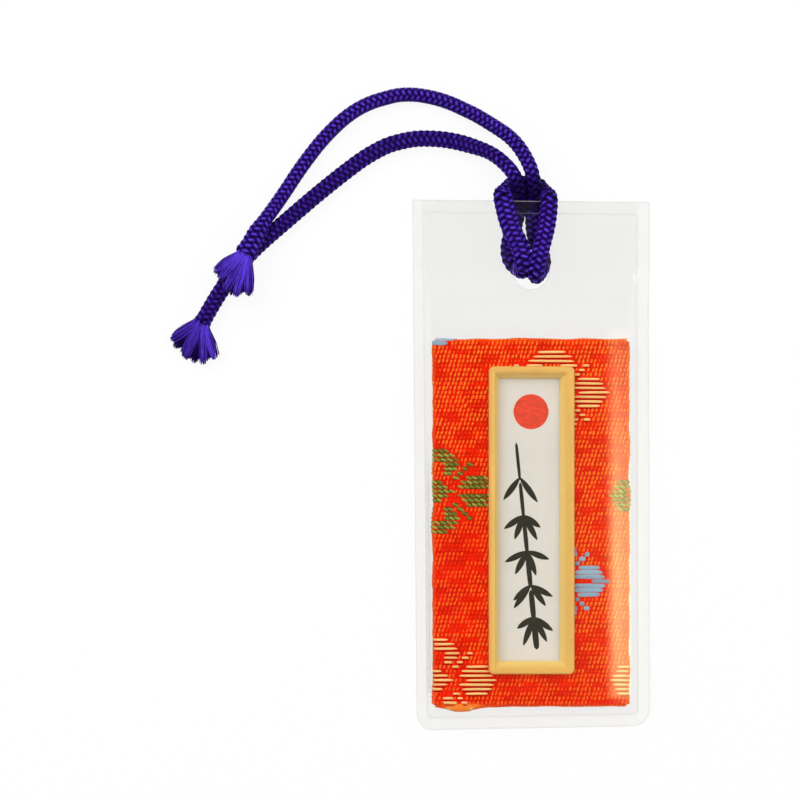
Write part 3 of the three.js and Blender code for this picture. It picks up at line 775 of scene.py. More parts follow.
def frayed_end(cord, end, way, fan):
    """A fan of loosened yarn. A hair leaves its lock's place on the cord's end, bends from the
    cord's way to the lock's heading and droops to the tip's height. Hairs fill a lock as a
    golden-angle disc, which widens along the lock and draws in a little at its tip."""
    rng = np.random.default_rng(fan["seed"])
    lock = np.arange(FAN_LOCKS)
    order = (lock + 0.5) / FAN_LOCKS * 2 - 1
    layer = np.where(lock % 2 == 0, 1.0, -1.0)
    heading = np.radians(fan["heading"] + fan["spread"] * order + rng.uniform(-5, 5, FAN_LOCKS))
    reach = cord.fan_length / MM * (1 - 0.12 * order**2 + fan["lean"] * order)
    reach = reach * rng.uniform(0.92, 1.04, FAN_LOCKS)
    flat_way = unit(np.array([way[0], way[1], 0.0]))
    flat_side = np.array([-flat_way[1], flat_way[0], 0.0])
    hair = np.arange(LOCK_HAIRS)
    disc = np.sqrt((hair + 0.5) / LOCK_HAIRS)
    beside, above = disc * np.cos(hair * GOLDEN_ANGLE), disc * np.sin(hair * GOLDEN_ANGLE)
    t = np.linspace(0, 1, HAIR_RINGS)
    length_share = (1 - 0.12 * beside**2) * rng.uniform(0.88, 1.06, (FAN_LOCKS, LOCK_HAIRS))
    wander = rng.normal(0, 0.09, (FAN_LOCKS, LOCK_HAIRS, 2))
    curl = rng.uniform(-0.12, 0.12, FAN_LOCKS)
    along = t * reach[:, None, None] * length_share[..., None]
    turned = heading[:, None] + curl[:, None] * t
    aim = np.stack([np.cos(turned), np.sin(turned), 0 * turned], -1)[:, None]
    bend = smooth(-0.1, 0.4, t)[:, None]
    steps = np.diff(along, axis=-1, prepend=0)[..., None] * (flat_way * (1 - bend) + aim * bend)
    spine = np.cumsum(steps, axis=2)
    swell = smooth(-0.3, 0.75, t) * (1 - 0.25 * smooth(0.75, 1.0, t))
    cross = np.stack([-np.sin(heading), np.cos(heading), 0 * heading], -1)[:, None, None, :]
    sideways = beside[None, :, None] * (0.26 + 0.66 * swell) + wander[..., :1] * t
    upward = above[None, :, None] * (0.18 + 0.42 * swell) + wander[..., 1:] * t
    root_side = 0.95 * order
    root_rise = 0.42 * layer * np.sqrt(1 - 0.8 * order**2)
    rise = (root_rise[:, None] * mix(1.0, 0.7, t))[:, None, :]
    rise = rise + (fan["tip"] - end[2]) * smooth(0, 1, t)
    rise = rise + (0.35 * rng.uniform(-1, 1, FAN_LOCKS)[:, None] * t)[:, None, :]
    centre = end + spine + sideways[..., None] * cross
    centre = centre + (root_side[:, None] * (1 - 0.3 * t))[:, None, :, None] * flat_side
    centre[..., 2] = np.maximum(centre[..., 2] + rise + upward, LOWEST_HAIR)
    centre = centre.reshape(-1, HAIR_RINGS, 3)
    hair_way = unit(np.gradient(centre, axis=1))
    side = unit(np.cross([0.0, 0.0, 1.0], hair_way))
    radius = HAIR_RADIUS * mix(1.0, 0.7, t)[:, None]
    points = ring_points(centre, radius * side, radius * np.cross(hair_way, side), HAIR_SIDES)
    count = len(centre)
    number = np.arange(count)[:, None, None]
    u = np.broadcast_to((t * 7.0)[:, None] + number * 1.7, points.shape[:3])
    v = np.broadcast_to(number * 0.618 % 1, u.shape)
    # The hairs' tone is painted light and shade: hairs on the outer face of each layer of locks are
    # painted lighter, those facing the other layer painted darker, and each hair darkens into the
    # cord's end and a little towards its tip. Each also takes a random tone.
    height = 0.5 + 0.5 * layer[:, None] * above
    depth = np.where(layer > 0, 0.22, 0.40)[:, None]
    strand = (depth + 1.6 * height**2.4) * rng.uniform(0.45, 1.15, height.shape)
    shade = mix(1.0, 0.85, t) * smooth(-0.25, 0.2, t)
    tone = strand.reshape(-1, 1, 1) * shade[:, None] + 0 * u
    return points, tube_faces(count, HAIR_RINGS, HAIR_SIDES), np.stack([u, v], -1), tone


class CHARM_OT_cord(bpy.types.Operator):
    """Braid the cord: the hitch through the hole, the two free tails and their frayed ends"""

    bl_idname = "charm.cord"
    bl_label = "Cord"

    def execute(self, context):
        cord = settings().cord
        finish = yarn_finish(cord)
        whole = cord_line()
        start, stop = whole["cuts"]
        end = len(whole["run"]) - 1
        hitch = self.piece("cord_hitch", braid(cord, whole, start, stop), finish, body="sleeve")
        hitch_line = whole["line"][start:stop + 1]
        self.declare(hitch, hitch_line, cord, "object", [])
        for name, first, last, sign, fan, reach in (
            ("lower", 0, start, -1, LOWER_FAN, LOWER_BLEND),
            ("upper", stop, end, 1, UPPER_FAN, UPPER_BLEND),
        ):
            at = last if sign > 0 else first
            fringe = frayed_end(cord, whole["line"][at], sign * whole["way"][at], fan)
            self.piece("frayed_end_" + name, fringe, finish, body="cord_tails")
            tail = self.piece("cord_tail_" + name, braid(cord, whole, first, last), finish)
            line = whole["line"][first:last + 1][::sign]
            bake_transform(tail)
            self.declare(tail, line, cord, "bare", ["frayed_end_" + name + ".yarn"])
        return {"FINISHED"}

    def piece(self, node, shape, finish, body=None):
        """A yarn piece that stands for a node."""
        points, faces, uv, tone = shape
        made = add_piece(node + ".yarn", points, faces, finish, body, uv=uv, tone=tone)
        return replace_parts(made, node)

    def declare(self, piece, line, cord, far_end, ends):
        """Sums the length of a stretch of the cord, which is then not used."""
        run = float(np.linalg.norm(np.diff(line, axis=0), axis=1).sum()) * MM


# Brocade

# The cloth's level on the front, the rounding of its folds, its lap on the back and its thickness.
COVER_FRONT = CARD_HIGH[2] - 0.05
COVER_ROUND = 0.55
TURN_IN = 5.0
FABRIC = 0.3
FRONT_ROWS = 30
# Half the window that is cut in the cloth, which goes on under the frame's edge.
HALF_WINDOW = HALF_BEZEL[:2] - 0.55
# How far from the card's middle the floats go, over the edges and in under the back.
FLOAT_REACH = HALF_CARD[:2] + FLAP_DEPTH + 2.4
# Points along and across a blossom's float, and how bluntly it ends.
WEFT_GRID = (9, 6)
WEFT_TAPER = 0.16
# The first blossom's middle, and where the notch of a blue, green and gilt side petal ends.
FIRST_BLOSSOM = (-14.85, 24.62 - CARD_MIDDLE[1])
PETAL_NOTCHES = (6.75, 8.7, 4.7)


def pucker(x, y):
    """How far the cloth stands off the board: slow waves, in millimetres."""
    return 0.035 * ripple(x, y, 7.0, 2) + 0.02 * ripple(x, y, 2.6, 5)


def edge_swell(x, y):
    """How far the cloth bulges past the board's edge: a fold at the lower left, and waves."""
    fold = 0.85 * np.exp(-(((x + 10.6) / 2.9) ** 2)) * smooth(-34.0, -37.0, y)
    return fold + 0.07 * ripple(x, y, 6.0, 9)


def fold_over(distance, half):
    """Carries a distance from the card's middle over its edge: flat on the front, a quarter round,
    down the side, a quarter round and flat on the back. Gives the place across, the height, and
    the outward direction's two parts."""
    d, sign = np.abs(distance), np.sign(distance)
    r = COVER_ROUND
    depth = COVER_FRONT - CARD_LOW[2]
    arc, wall = np.pi * r / 2, depth - 2 * r
    past = d - (half - r)
    turn = np.clip(past / r, 0, np.pi / 2) + np.clip((past - arc - wall) / r, 0, np.pi / 2)
    side = np.clip(past - arc, 0, wall)
    back = np.maximum(past - 2 * arc - wall, 0)
    place = np.minimum(d, half - r) + r * np.sin(turn) - back
    height = COVER_FRONT - r * (1 - np.cos(turn)) - side
    return sign * place, height, sign * np.sin(turn), np.cos(turn)


def lay_on_cloth(u, v, rise):
    """Carries a place on the flat cloth, measured from the card's middle, and a rise off it onto
    the wrapped card. The cloth folds over the left and right edges, or over the top and bottom."""
    x, zx, nx, ux = fold_over(u, HALF_CARD[0])
    y, zy, ny, uy = fold_over(v, HALF_CARD[1])
    over_end = zy < zx
    height, up = np.where(over_end, zy, zx), np.where(over_end, uy, ux)
    y = y + CARD_MIDDLE[1]
    off = rise + pucker(x, y) + edge_swell(x, y) * (1 - np.abs(up))
    return np.stack([x + off * nx * ~over_end, y + off * ny * over_end, height + off * up], -1)


def wrapped_cover():
    """The cloth as a closed skin: rounded rectangles carried from the window over the front, round
    the edge and in under the back, then back along its inner face. Gives also its painted light:
    the bulging fold and the outward faces are painted paler and more orange."""
    r, half = COVER_ROUND, HALF_CARD
    top, foot = COVER_FRONT, CARD_LOW[2]

    def outline(inset):
        """Half width, half length, corner and middle of the card's outline, moved in."""
        corner = np.maximum(1.15 - inset, 0.12)
        return [half[0] - inset, half[1] - inset, corner, np.full(len(inset), CARD_MIDDLE[1])]

    quarter = np.linspace(0, np.pi / 2, 6)
    sin, cos = np.sin(quarter), np.cos(quarter)
    wall = np.linspace(top - r, foot + r, 5)[1:4]
    turned = np.linspace(r, TURN_IN, 9)[1:]
    rim = outline(np.concatenate([r * (1 - sin), 0 * wall, r * (1 - cos), turned]))
    height = np.concatenate([top - r * (1 - cos), wall, foot + r * (1 - sin), foot + 0 * turned])
    outward = np.concatenate([sin, 0 * wall + 1, cos, 0 * turned])
    upward = np.concatenate([cos, 0 * wall, -sin, 0 * turned - 1])
    window = [*HALF_WINDOW, 0.6, BEZEL_MIDDLE[1]]
    share = np.linspace(0, 1, FRONT_ROWS, endpoint=False)
    front = [mix(w, edge[0], share) for w, edge in zip(window, rim)]
    inner = outline(np.array([TURN_IN, FABRIC + 0.1, FABRIC + 0.1]))
    inner = [np.append(a, w) for a, w in zip(inner, window)]
    rows = [np.concatenate(parts) for parts in zip(front, rim, inner)]
    under = [foot + FABRIC, foot + FABRIC, top - FABRIC, top - FABRIC]
    z = np.concatenate([np.full(FRONT_ROWS, top), height, under])
    out = np.concatenate([np.zeros(FRONT_ROWS), outward, np.zeros(4)])[:, None]
    up = np.concatenate([np.ones(FRONT_ROWS), upward, np.zeros(4)])[:, None]
    flat = rounded_rings(*rows, long_steps=220, short_steps=120, corner_steps=6)
    x, y = flat[..., 0], flat[..., 1]
    away = np.clip((flat - [0, CARD_MIDDLE[1]]) / (half[:2] - 1), -1, 1) ** 15
    swell = edge_swell(x, y)
    off = (pucker(x, y) + swell * (1 - np.abs(up))) * (np.abs(out) + np.abs(up))
    flat = flat + (off * out)[..., None] * away
    points = np.concatenate([flat, (z[:, None] + off * up)[..., None]], -1)
    # Painted light: the bulging fold and the faces that turn outward are painted paler and more
    # orange.
    painted_edge_light = np.clip(0.85 * smooth(0.15, 0.6, swell) * (out > 0) + 0.35 * out, 0, 1)
    quads = grid_quads(*points.shape[:2], wrap_rows=True, wrap_columns=True)
    return points, [quads[:, ::-1]], painted_edge_light


def patches(u, v, angle, length_, width, height, along=6, across=4, taper=0.5, sink=0.05):
    """Small domed floats. Each runs its length at its angle; its width falls towards the ends
    as the taper's power of 1 - p2, and its rise as a circle across and along."""
    def column(values):
        return np.asarray(values, float).reshape(-1, 1, 1)

    u, v, angle, length_, width, height = map(column, (u, v, angle, length_, width, height))
    p = np.linspace(-1, 1, along)[None, :, None]
    q = np.linspace(-1, 1, across)[None, None, :]
    body = np.maximum(1 - p**2, 0.0) ** taper
    dome = np.sqrt(np.maximum(1 - q**2, 0))
    run = length_ / 2 * p + 0 * q
    side = width / 2 * q * np.maximum(body, 0.12)
    rise = height * (dome * np.maximum(1 - p**4, 0) ** 0.5) - sink * (1 - dome * body)
    cos, sin = np.cos(angle), np.sin(angle)
    place_u = u + run * cos - side * sin
    place_v = v + run * sin + side * cos
    uv = np.stack(np.broadcast_arrays(run + u * 3.1, (q + 1) / 2 + v * 1.7), -1)
    return *np.broadcast_arrays(place_u, place_v, rise), uv


def patch_faces(count, along=6, across=4):
    """Quads of the floats, facing up."""
    return [copies(grid_quads(along, across)[:, ::-1], count, along * across)]


def add_floats(name, lay, finish, tone):
    """Lays floats on the cloth as one piece, with a tone for each."""
    points = lay_on_cloth(*lay[:3])
    count, along, across = points.shape[:3]
    add_piece(
        "brocade_floats." + name, points, patch_faces(count, along, across), finish, "charm",
        uv=lay[3], tone=np.repeat(tone, along * across),
    )


def blossom_rows(row, notch):
    """One blossom as floats along weft rows, from its middle: row number, start and end.
    It is a heart, a petal on each side with a notch from its root, a petal above and below with a
    notch between its lobes, and stamens along the diagonals."""
    rows = []
    for k in range(-3, 4):
        inner = notch if k == 0 else 3.5 + 0.13 * k * k
        outer = 9.77 - 0.46 * abs(k)
        rows += [(k, inner, outer), (k, -outer, -min(inner, 6.5))]
    for k in range(-2, 3):
        rows.append((k, -3.1 + 0.92 * abs(k), 3.1 - 0.92 * abs(k)))
    for j in range(6):
        half = 3.95 - 0.23 * (j - 2.75) ** 2
        for way in (1, -1):
            k = way * (9 - j)
            rows += [(k, -half, half)] if j < 3 else [(k, -half, -1.34), (k, 1.34, half)]
    for i in range(4):
        near = 2.75 + 0.72 * i
        for k in (3 + i, -3 - i):
            rows += [(k, near, near + 0.95), (k, -near - 0.95, -near)]
    return np.array(rows) * [row, 1, 1]


def blossom_floats(brocade):
    """All blossoms' floats on a half-drop repeat: v, start and end from the card's middle, and
    the colour that each column of blossoms takes by turns."""
    row = brocade.row_pitch / MM
    made = []
    for m in range(-1, 4):
        odd = m % 2
        for n in range(-1, 4):
            u = FIRST_BLOSSOM[0] + brocade.repeat_across / MM * m - 1.0 * odd
            v = FIRST_BLOSSOM[1] - brocade.repeat_down / MM * (n + 0.5 * odd)
            v = v + (0.6 if odd else (0.7 * n - 1.2) * (m == 2))
            v = np.round(v / row) * row
            kind = (n + 2 * odd) % 3
            one = blossom_rows(row, PETAL_NOTCHES[kind])
            lean = 0.8 * odd * (np.abs(one[:, :1]) > 3.5 * row)
            kinds = np.full(len(one), kind)
            made.append(np.column_stack([one[:, 0] + v, one[:, 1:] + u + lean, kinds]))
    floats = np.concatenate(made)
    floats[:, 1:3] = np.clip(floats[:, 1:3], -FLOAT_REACH[0], FLOAT_REACH[0])
    over_end = np.abs(floats[:, 0]) > HALF_CARD[1] - 0.6
    floats[over_end, 1:3] = np.clip(floats[over_end, 1:3], 0.5 - HALF_CARD[0], HALF_CARD[0] - 0.5)
    keep = (floats[:, 2] - floats[:, 1] > 0.3) & (np.abs(floats[:, 0]) < FLOAT_REACH[1])
    floats = floats[keep]
    edge = HALF_BEZEL[0] - 0.45
    crosses = under_bezel(0.0, floats[:, 0]) & (floats[:, 1] < edge) & (floats[:, 2] > -edge)
    left, right = floats[crosses], floats[crosses]
    left[:, 2], right[:, 1] = np.minimum(left[:, 2], -edge), np.maximum(right[:, 1], edge)
    floats = np.concatenate([floats[~crosses], left, right])
    v, start, stop = floats[:, :3].T
    stray = (np.abs(stop) < HALF_BEZEL[0] + 0.2) & (start > -HALF_BEZEL[0] - 1.2)
    return floats[(stop - start > 0.2) & ~(stray & under_bezel(0.0, v))]


def under_bezel(u, v):
    """True where the window and its frame hide the cloth."""
    y = v + CARD_MIDDLE[1] - BEZEL_MIDDLE[1]
    return (np.abs(u) < HALF_BEZEL[0] - 0.35) & (np.abs(y) < HALF_BEZEL[1] - 0.35)


class CHARM_OT_brocade(bpy.types.Operator):
    """Weave the card's cover: the wrapped cloth, its twill floats and its blossoms"""

    bl_idname = "charm.brocade"
    bl_label = "Brocade"

    def execute(self, context):
        brocade = settings().brocade
        points, faces, painted_edge_light = wrapped_cover()
        cover = add_piece(
            "brocade_cover.cloth", points, faces, ground_finish(brocade), "charm",
            tone=painted_edge_light, crease=70,
        )
        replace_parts(cover, "brocade_cover")
        floats = blossom_floats(brocade)
        self.twill(brocade, floats)
        self.blossoms(brocade, floats)
        return {"FINISHED"}

    def twill(self, brocade, floats):
        """Warp floats of the ground on a lattice that moves a third of a column with each row.
        They lie low and red in streaks, as the damask figure turns them, and are redder towards the
        left middle and the foot. A painted sheen makes them more orange towards the top and the
        right."""
        rng = np.random.default_rng(11)
        row, column = brocade.row_pitch / MM, brocade.column_pitch / MM
        rows, columns = int(FLOAT_REACH[1] / row), int(FLOAT_REACH[0] / column) + 40
        c, r = np.meshgrid(np.arange(-columns, columns + 1), np.arange(-rows, rows + 1))
        u, v = (c * column + r * column / 3).ravel(), (r * row).ravel()
        past_u, past_v = np.maximum(np.abs([u, v]) - HALF_CARD[:2, None] + 0.5, 0)
        inside = (np.abs(u) < FLOAT_REACH[0]) & ~under_bezel(u, v) & (past_u * past_v == 0)
        u, v = u[inside], v[inside]
        close = np.abs(v[:, None] - floats[:, 0]) < 0.62 * row
        close &= (u[:, None] > floats[:, 1] - 0.1) & (u[:, None] < floats[:, 2] + 0.1)
        free = ~close.any(1)
        u, v = u[free], v[free]
        count = len(u)
        u, v = u + rng.uniform(-0.07, 0.07, count), v + rng.uniform(-0.06, 0.06, count)
        streak = ripple(u * 0.28, v, 1.7, 4) + 0.6 * ripple(u, v, 9.0, 6)
        figure = smooth(-0.95, -0.1, streak)
        redder = 0.46 * np.exp(-((u + 11) / 5) ** 2 - ((v + 3) / 14) ** 2)
        # Painted sheen: the floats grow more orange towards the top and the right.
        redder = redder - 0.10 * v / HALF_CARD[1] - 0.10 * smooth(4.0, 12.0, u)
        redder = redder + 0.2 * (1 - smooth(-26.0, -21.0, v))
        tone = np.clip(0.15 + 0.62 * figure - redder + rng.uniform(-0.2, 0.2, count), 0, 1)
        angle = np.radians(70 + rng.uniform(-13, 13, count))
        size = mix(0.72, 1.0, figure) * rng.uniform(0.82, 1.08, count)
        lay = patches(u, v, angle, 0.76 * size, 0.42 * size, 0.10 * mix(0.5, 1.0, figure))
        finish = float_finish("brocade_warp", rgb(brocade.ground, 1.1), rgb(brocade.warp), 0.5)
        add_floats("warp", lay, finish, tone)

    def blossoms(self, brocade, floats):
        """Weft floats of the blossoms. Gilt lies in flat single bands, blue nearly fills its rows,
        and green is bound down every few threads, so it breaks into short stitches."""
        row = brocade.row_pitch / MM
        looks = (
            ("blue", brocade.blue, 1.14 * row, 0.11, 7.0, 0.42, (0.55, 1.4), 0.0),
            ("green", brocade.green, 0.62 * row, 0.17, 1.0, 0.45, (0.45, 2.0), -22.0),
            ("gold", brocade.gold, 0.60 * row, 0.12, 9.0, 0.40, (0.85, 1.2), 0.0),
        )
        for kind, (name, tint, width, height, stitch, roughness, shades, slant) in enumerate(looks):
            rng = np.random.default_rng(20 + kind)
            mine = floats[floats[:, 3] == kind]
            pieces = np.maximum(np.ceil((mine[:, 2] - mine[:, 1]) / stitch), 1).astype(int)
            share = np.concatenate([(np.arange(n) + 0.5) / n for n in pieces])
            mine[:, 1:3] += rng.uniform(-0.16, 0.16, (len(mine), 2))
            v, start, stop = (np.repeat(mine[:, k], pieces) for k in range(3))
            span = (stop - start) / np.repeat(pieces, pieces)
            u = mix(start, stop, share)
            count = len(u)
            angle = slant + rng.uniform(-0.25, 0.25, count) * abs(slant) + rng.uniform(-1, 1, count)
            wide = width * rng.uniform(0.9, 1.08, count)
            lay = patches(
                u, v, np.radians(angle), span + 0.10, wide, height, *WEFT_GRID, taper=WEFT_TAPER
            )
            low, high = (rgb(tint, k) for k in shades)
            finish = float_finish("brocade_" + name, low, high, roughness, lines=(0.5, 6.0))
            add_floats(name, lay, finish, rng.uniform(0.15, 0.95, count))
        green, gilt = (floats[floats[:, 3] == kind] for kind in (1, 2))
        # Painted shadow below the gilt bands, and painted shade in the green bed between its
        # stitches.
        self.bed("gilt_shadow", gilt, -0.5 * row, 0.42 * row, brocade.ground, (0.24, 0.55))
        self.bed("bed", green, 0.0, 1.3 * row, brocade.green, (0.26, 0.5))

    def bed(self, name, floats, shift, width, tint, shades):
        """Dark bands: a painted shadow just below each gilt band, and the green weft under the
        stitches, painted dark as shade where it dips between them.
        """
        v, start, stop = floats[:, :3].T
        span = stop - start
        flat = np.zeros(len(span))
        lay = patches(
            start + span / 2, v + shift, flat, span, width, 0.05, *WEFT_GRID, taper=WEFT_TAPER
        )
        low, high = (rgb(tint, k) for k in shades)
        finish = float_finish("brocade_" + name, low, high, 0.6)
        add_floats(name, lay, finish, flat + 0.4)


# Window, title strip and papers

class CHARM_OT_window(bpy.types.Operator):
    """Mould the window frame: a rounded bezel whose skirt drops into the board"""

    bl_idname = "charm.window"
    bl_label = "Window frame"

    def execute(self, context):
        card = settings().card
        r = card.bezel_round / MM
        # In from the outer edge: the bevel's foot and the wall's slant below it, the skirt, the
        # bevel's start; then the bevel's depth and how far it leans left.
        border, draft, inset, crest, bevel, lean = 1.65, 0.2, 0.8, 0.75, 1.2, -0.3
        flange, front, foot = CARD_HIGH[2] + 0.1, BEZEL_HIGH[2], BEZEL_LOW[2]
        arc = np.linspace(0, np.pi / 2, 7)
        fall = np.linspace(0, 1, 6)
        knee = np.linspace(0, 1, 4)[1:]
        run = np.concatenate([
            [0.0, 0.0], r * (1 - np.cos(arc)), crest + 0.28 * knee, mix(crest + 0.36, border, fall),
            [border + draft, border + draft - 0.06, inset, inset],
        ])
        high = np.concatenate([
            [flange, flange + 0.2], front - r * (1 - np.sin(arc)), front - 0.12 * knee**2,
            mix(front - 0.22, front - bevel, fall), [foot + 0.06, foot, foot, flange],
        ])
        corner = np.maximum(0.8 - run, 0.22)
        middle = np.full(len(run), BEZEL_MIDDLE[1])
        flat = rounded_rings(
            HALF_BEZEL[0] - run, HALF_BEZEL[1] - run, corner, middle,
            long_steps=60, short_steps=16, corner_steps=8,
        )
        slope = smooth(crest, border, run)[:, None]
        inner_wall = (np.arange(len(run)) < len(run) - 2)[:, None]
        flat[..., 0] += lean * slope * inner_wall
        height = np.broadcast_to(high[:, None, None], (*flat.shape[:2], 1))
        points = np.concatenate([flat, height], -1)
        faces = [grid_quads(*points.shape[:2], wrap_rows=True, wrap_columns=True)]
        # The slope's tone paints the bevel paler, as painted light on the frame's walls.
        bezel = add_piece(
            "window_frame.bezel", points, faces, plastic_finish(card), "charm",
            tone=np.broadcast_to(slope, flat.shape[:2]), crease=50,
        )
        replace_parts(bezel, "window_frame")
        return {"FINISHED"}


class CHARM_OT_papers(bpy.types.Operator):
    """Finish the title strip with its ink sprig, and the papers and board of the card"""

    bl_idname = "charm.papers"
    bl_label = "Title strip and papers"

    def execute(self, context):
        card = settings().card
        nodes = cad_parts
        for node, finish in (
            ("title_card", paper_finish("title_paper", card.title, 0.05)),
            ("back_lining", paper_finish("lining_paper", card.lining, 0.16, (500.0, 180.0, 500.0))),
            ("inner_slip", paper_finish("slip_paper", card.lining, 0.08)),
            ("core_board", paper_finish("board", card.board, 0.25, (600.0, 600.0, 600.0))),
        ):
            nodes[node].data.materials.clear()
            nodes[node].data.materials.append(finish)
        self.sprig(card)
        return {"FINISHED"}

    def sprig(self, card):
        """A bamboo stem in joints, with lens-shaped leaves in pairs below each joint, and a plain
        round sun above it."""
        joints, leaves, lean = 6, 18, 0.10
        joint, leaf = np.arange(joints), np.arange(leaves)
        foot = np.array([0.9, -20.0])
        long = 4.3 + 0.3 * joint
        start = np.concatenate([[0], np.cumsum(long[:-1] + 0.32)])
        stem_u = foot[0] - lean * (start + long / 2)
        stem_v = foot[1] + start + long / 2
        stem = (stem_u, stem_v, np.full(joints, np.pi / 2 + lean), long, 0.95 - 0.09 * joint)
        at = 1 + leaf // 4
        hang = np.array([-62.0, -118.0, -28.0, -146.0])[leaf % 4] + 9 * np.sin(leaf * 2.1)
        hang = np.radians(hang)
        size = 4.3 - 0.9 * (leaf % 4 > 1) + 0.4 * np.sin(leaf * 1.3)
        size = np.minimum(size, 3.6 / np.maximum(np.abs(np.cos(hang)), 0.35))
        leaf_u = foot[0] - lean * start[at] + np.cos(hang) * size / 2
        leaf_v = foot[1] + start[at] + 0.4 + np.sin(hang) * size / 2
        blades = (leaf_u, leaf_v, hang, size, np.full(leaves, 0.95))
        ink = ink_finish("ink", card.ink)
        self.mark("title_sprig.stem", stem, ink, 0.18)
        self.mark("title_sprig.leaves", blades, ink, 0.75)
        sun = ([0.0], [16.6], [0.0], [5.4], [5.4])
        self.mark("title_sun", sun, ink_finish("vermilion", card.vermilion), 0.5, 25, 25)

    def mark(self, name, strokes, finish, taper, along=13, across=5):
        """Thin domed marks on the strip."""
        height, gap = 0.012, 0.004
        u, v, rise, uv = patches(*strokes, height, along, across, taper, sink=0.0)
        points = np.stack([u, v + BEZEL_MIDDLE[1], TITLE_TOP + gap + rise], -1)
        faces = patch_faces(len(points), along, across)
        add_piece(name, points, faces, finish, "charm", uv=uv)


# Clear sleeve

# Lines that the edge and the weld draw in the film, as distance in from the edge, share and half
# width, and the bead beside the weld, as distance, height and half width.
FILM_LINES = ((0.06, 0.48, 0.11), (1.90, 0.32, 0.15))
WELD_BEAD = (1.90, 0.06, 0.12)
# Rows of the films' net beside the edge, and shares of the way from the square to the hole.
EDGE_ROWS = (0, 0.02, 0.05, 0.08, 0.11, 0.14, 0.18, 0.23)
HOLE_ROWS = (0, 0.3, 0.55, 0.75, 0.85, 0.9, 0.93, 0.95, 0.97, 0.985, 1.0)
# How far the front film lies above the back film where they are welded.
WELD_RISE = 0.4


def film_net(sleeve):
    """The films' flat net: a grid that is finer at the welds and the ramp, follows the rounded
    bottom corners, and closes on the hole by straight lines from a square to a circle."""
    low, high = FRONT_LOW, FRONT_HIGH
    weld, margin, corner = (k / MM for k in (sleeve.weld, sleeve.margin, sleeve.corner))
    edge = weld + margin
    square = 4.0
    rim = np.concatenate([EDGE_ROWS, np.linspace(0.3, edge + 0.2, 44)])
    inside = np.linspace(square, high[0] - rim[-1], 23)[1:-1]
    half = np.concatenate([np.linspace(0, square, 9), inside, high[0] - rim[::-1]])
    across = np.concatenate([-half[:0:-1], half])
    ramp = high[1] - (sleeve.strip + sleeve.ramp) / MM
    rows = np.concatenate([
        low[1] + rim,
        np.linspace(low[1] + rim[-1], ramp - 2, 64)[1:],
        np.linspace(ramp - 2, HOLE[1] - square, 9)[1:],
        np.linspace(HOLE[1] - square, HOLE[1] + square, 25)[1:],
        np.linspace(HOLE[1] + square, high[1] - rim[-1], 7)[1:-1],
        high[1] - rim[::-1],
    ])
    rise = np.minimum(rows - low[1], corner)
    draw_in = corner - np.sqrt(rise * (2 * corner - rise))
    x = across * (1 - (draw_in / high[0])[:, None] * np.abs(across / high[0]) ** 2)
    y = np.broadcast_to(rows[:, None], x.shape)
    flat = np.stack([x, y], -1)
    quads = grid_quads(*x.shape)
    middle = flat.reshape(-1, 2)[quads].mean(1) - HOLE[:2]
    quads = quads[np.abs(middle).max(1) > square]
    i = np.flatnonzero(np.abs(across) <= square + 1e-6)
    j = np.flatnonzero(np.abs(rows - HOLE[1]) <= square + 1e-6)
    ring = np.concatenate([
        [(a, j[0]) for a in i[:-1]], [(i[-1], b) for b in j[:-1]],
        [(a, j[-1]) for a in i[:0:-1]], [(i[0], b) for b in j[:0:-1]],
    ])
    outer = np.column_stack([across[ring[:, 0]], rows[ring[:, 1]]])
    inner = HOLE[:2] + HOLE_RADIUS * unit(outer - HOLE[:2])
    patch = mix(outer[None], inner[None], np.array(HOLE_ROWS)[:, None, None])
    patch_quads = grid_quads(len(HOLE_ROWS), len(ring), wrap_columns=True) + x.size
    points = np.concatenate([flat.reshape(-1, 2), patch.reshape(-1, 2)])
    return points, np.concatenate([quads, patch_quads])


def film_inset(x, y, corner):
    """How far a place lies in from the sleeve's sides and foot, with its rounded corners."""
    across = np.abs(x) - (FRONT_HIGH[0] - corner)
    down = FRONT_LOW[1] + corner - y
    outside = np.hypot(np.maximum(across, 0), np.maximum(down, 0))
    return corner - outside - np.minimum(np.maximum(across, down), 0)


def hole_distance(x, y):
    """How far a place lies from the punched edge."""
    return np.hypot(x - HOLE[0], y - HOLE[1]) - HOLE_RADIUS


def film_tone(x, y, corner):
    """How much the film takes from the light: least in the fused weld at the sides and the foot,
    more inside it, and most along the lines that edge, weld and hole draw. A painted shadow darkens
    the strip left of the card too."""
    inset = film_inset(x, y, corner)
    rim = np.minimum(inset, FRONT_HIGH[1] - y)
    tone = sum(share * np.exp(-(((rim - at) / wide) ** 2)) for at, share, wide in FILM_LINES)
    # Painted shadow in the channel left of the card.
    beside = 0.5 * np.exp(-(((x - CARD_LOW[0] + 0.75) / 0.5) ** 2))
    beside = beside * smooth(8.0, -6.0, y) * smooth(-36.0, -34.5, y)
    punched = 0.5 * np.exp(-((hole_distance(x, y) / 0.12) ** 2))
    return tone + beside + 0.23 * smooth(1.4, 2.0, inset) + punched


def lie_askew(points):
    """The sleeve was cut a little out of square: its foot leans right and its ends slant, but the
    hole keeps its place."""
    middle, half = (FRONT_LOW + FRONT_HIGH) / 2, (FRONT_HIGH - FRONT_LOW) / 2
    s, t = ((points[:, :2] - middle[:2]) / half[:2]).T
    share = smooth(0.5, 6.0, hole_distance(points[:, 0], points[:, 1]))
    across = (0.12 * s - 0.23) * t + 0.38 * smooth(0.84, 1.0, -s)
    shift = np.stack([across, s * (0.08 - 0.27 * t)], -1)
    return np.column_stack([points[:, :2] + share[:, None] * shift, points[:, 2]])


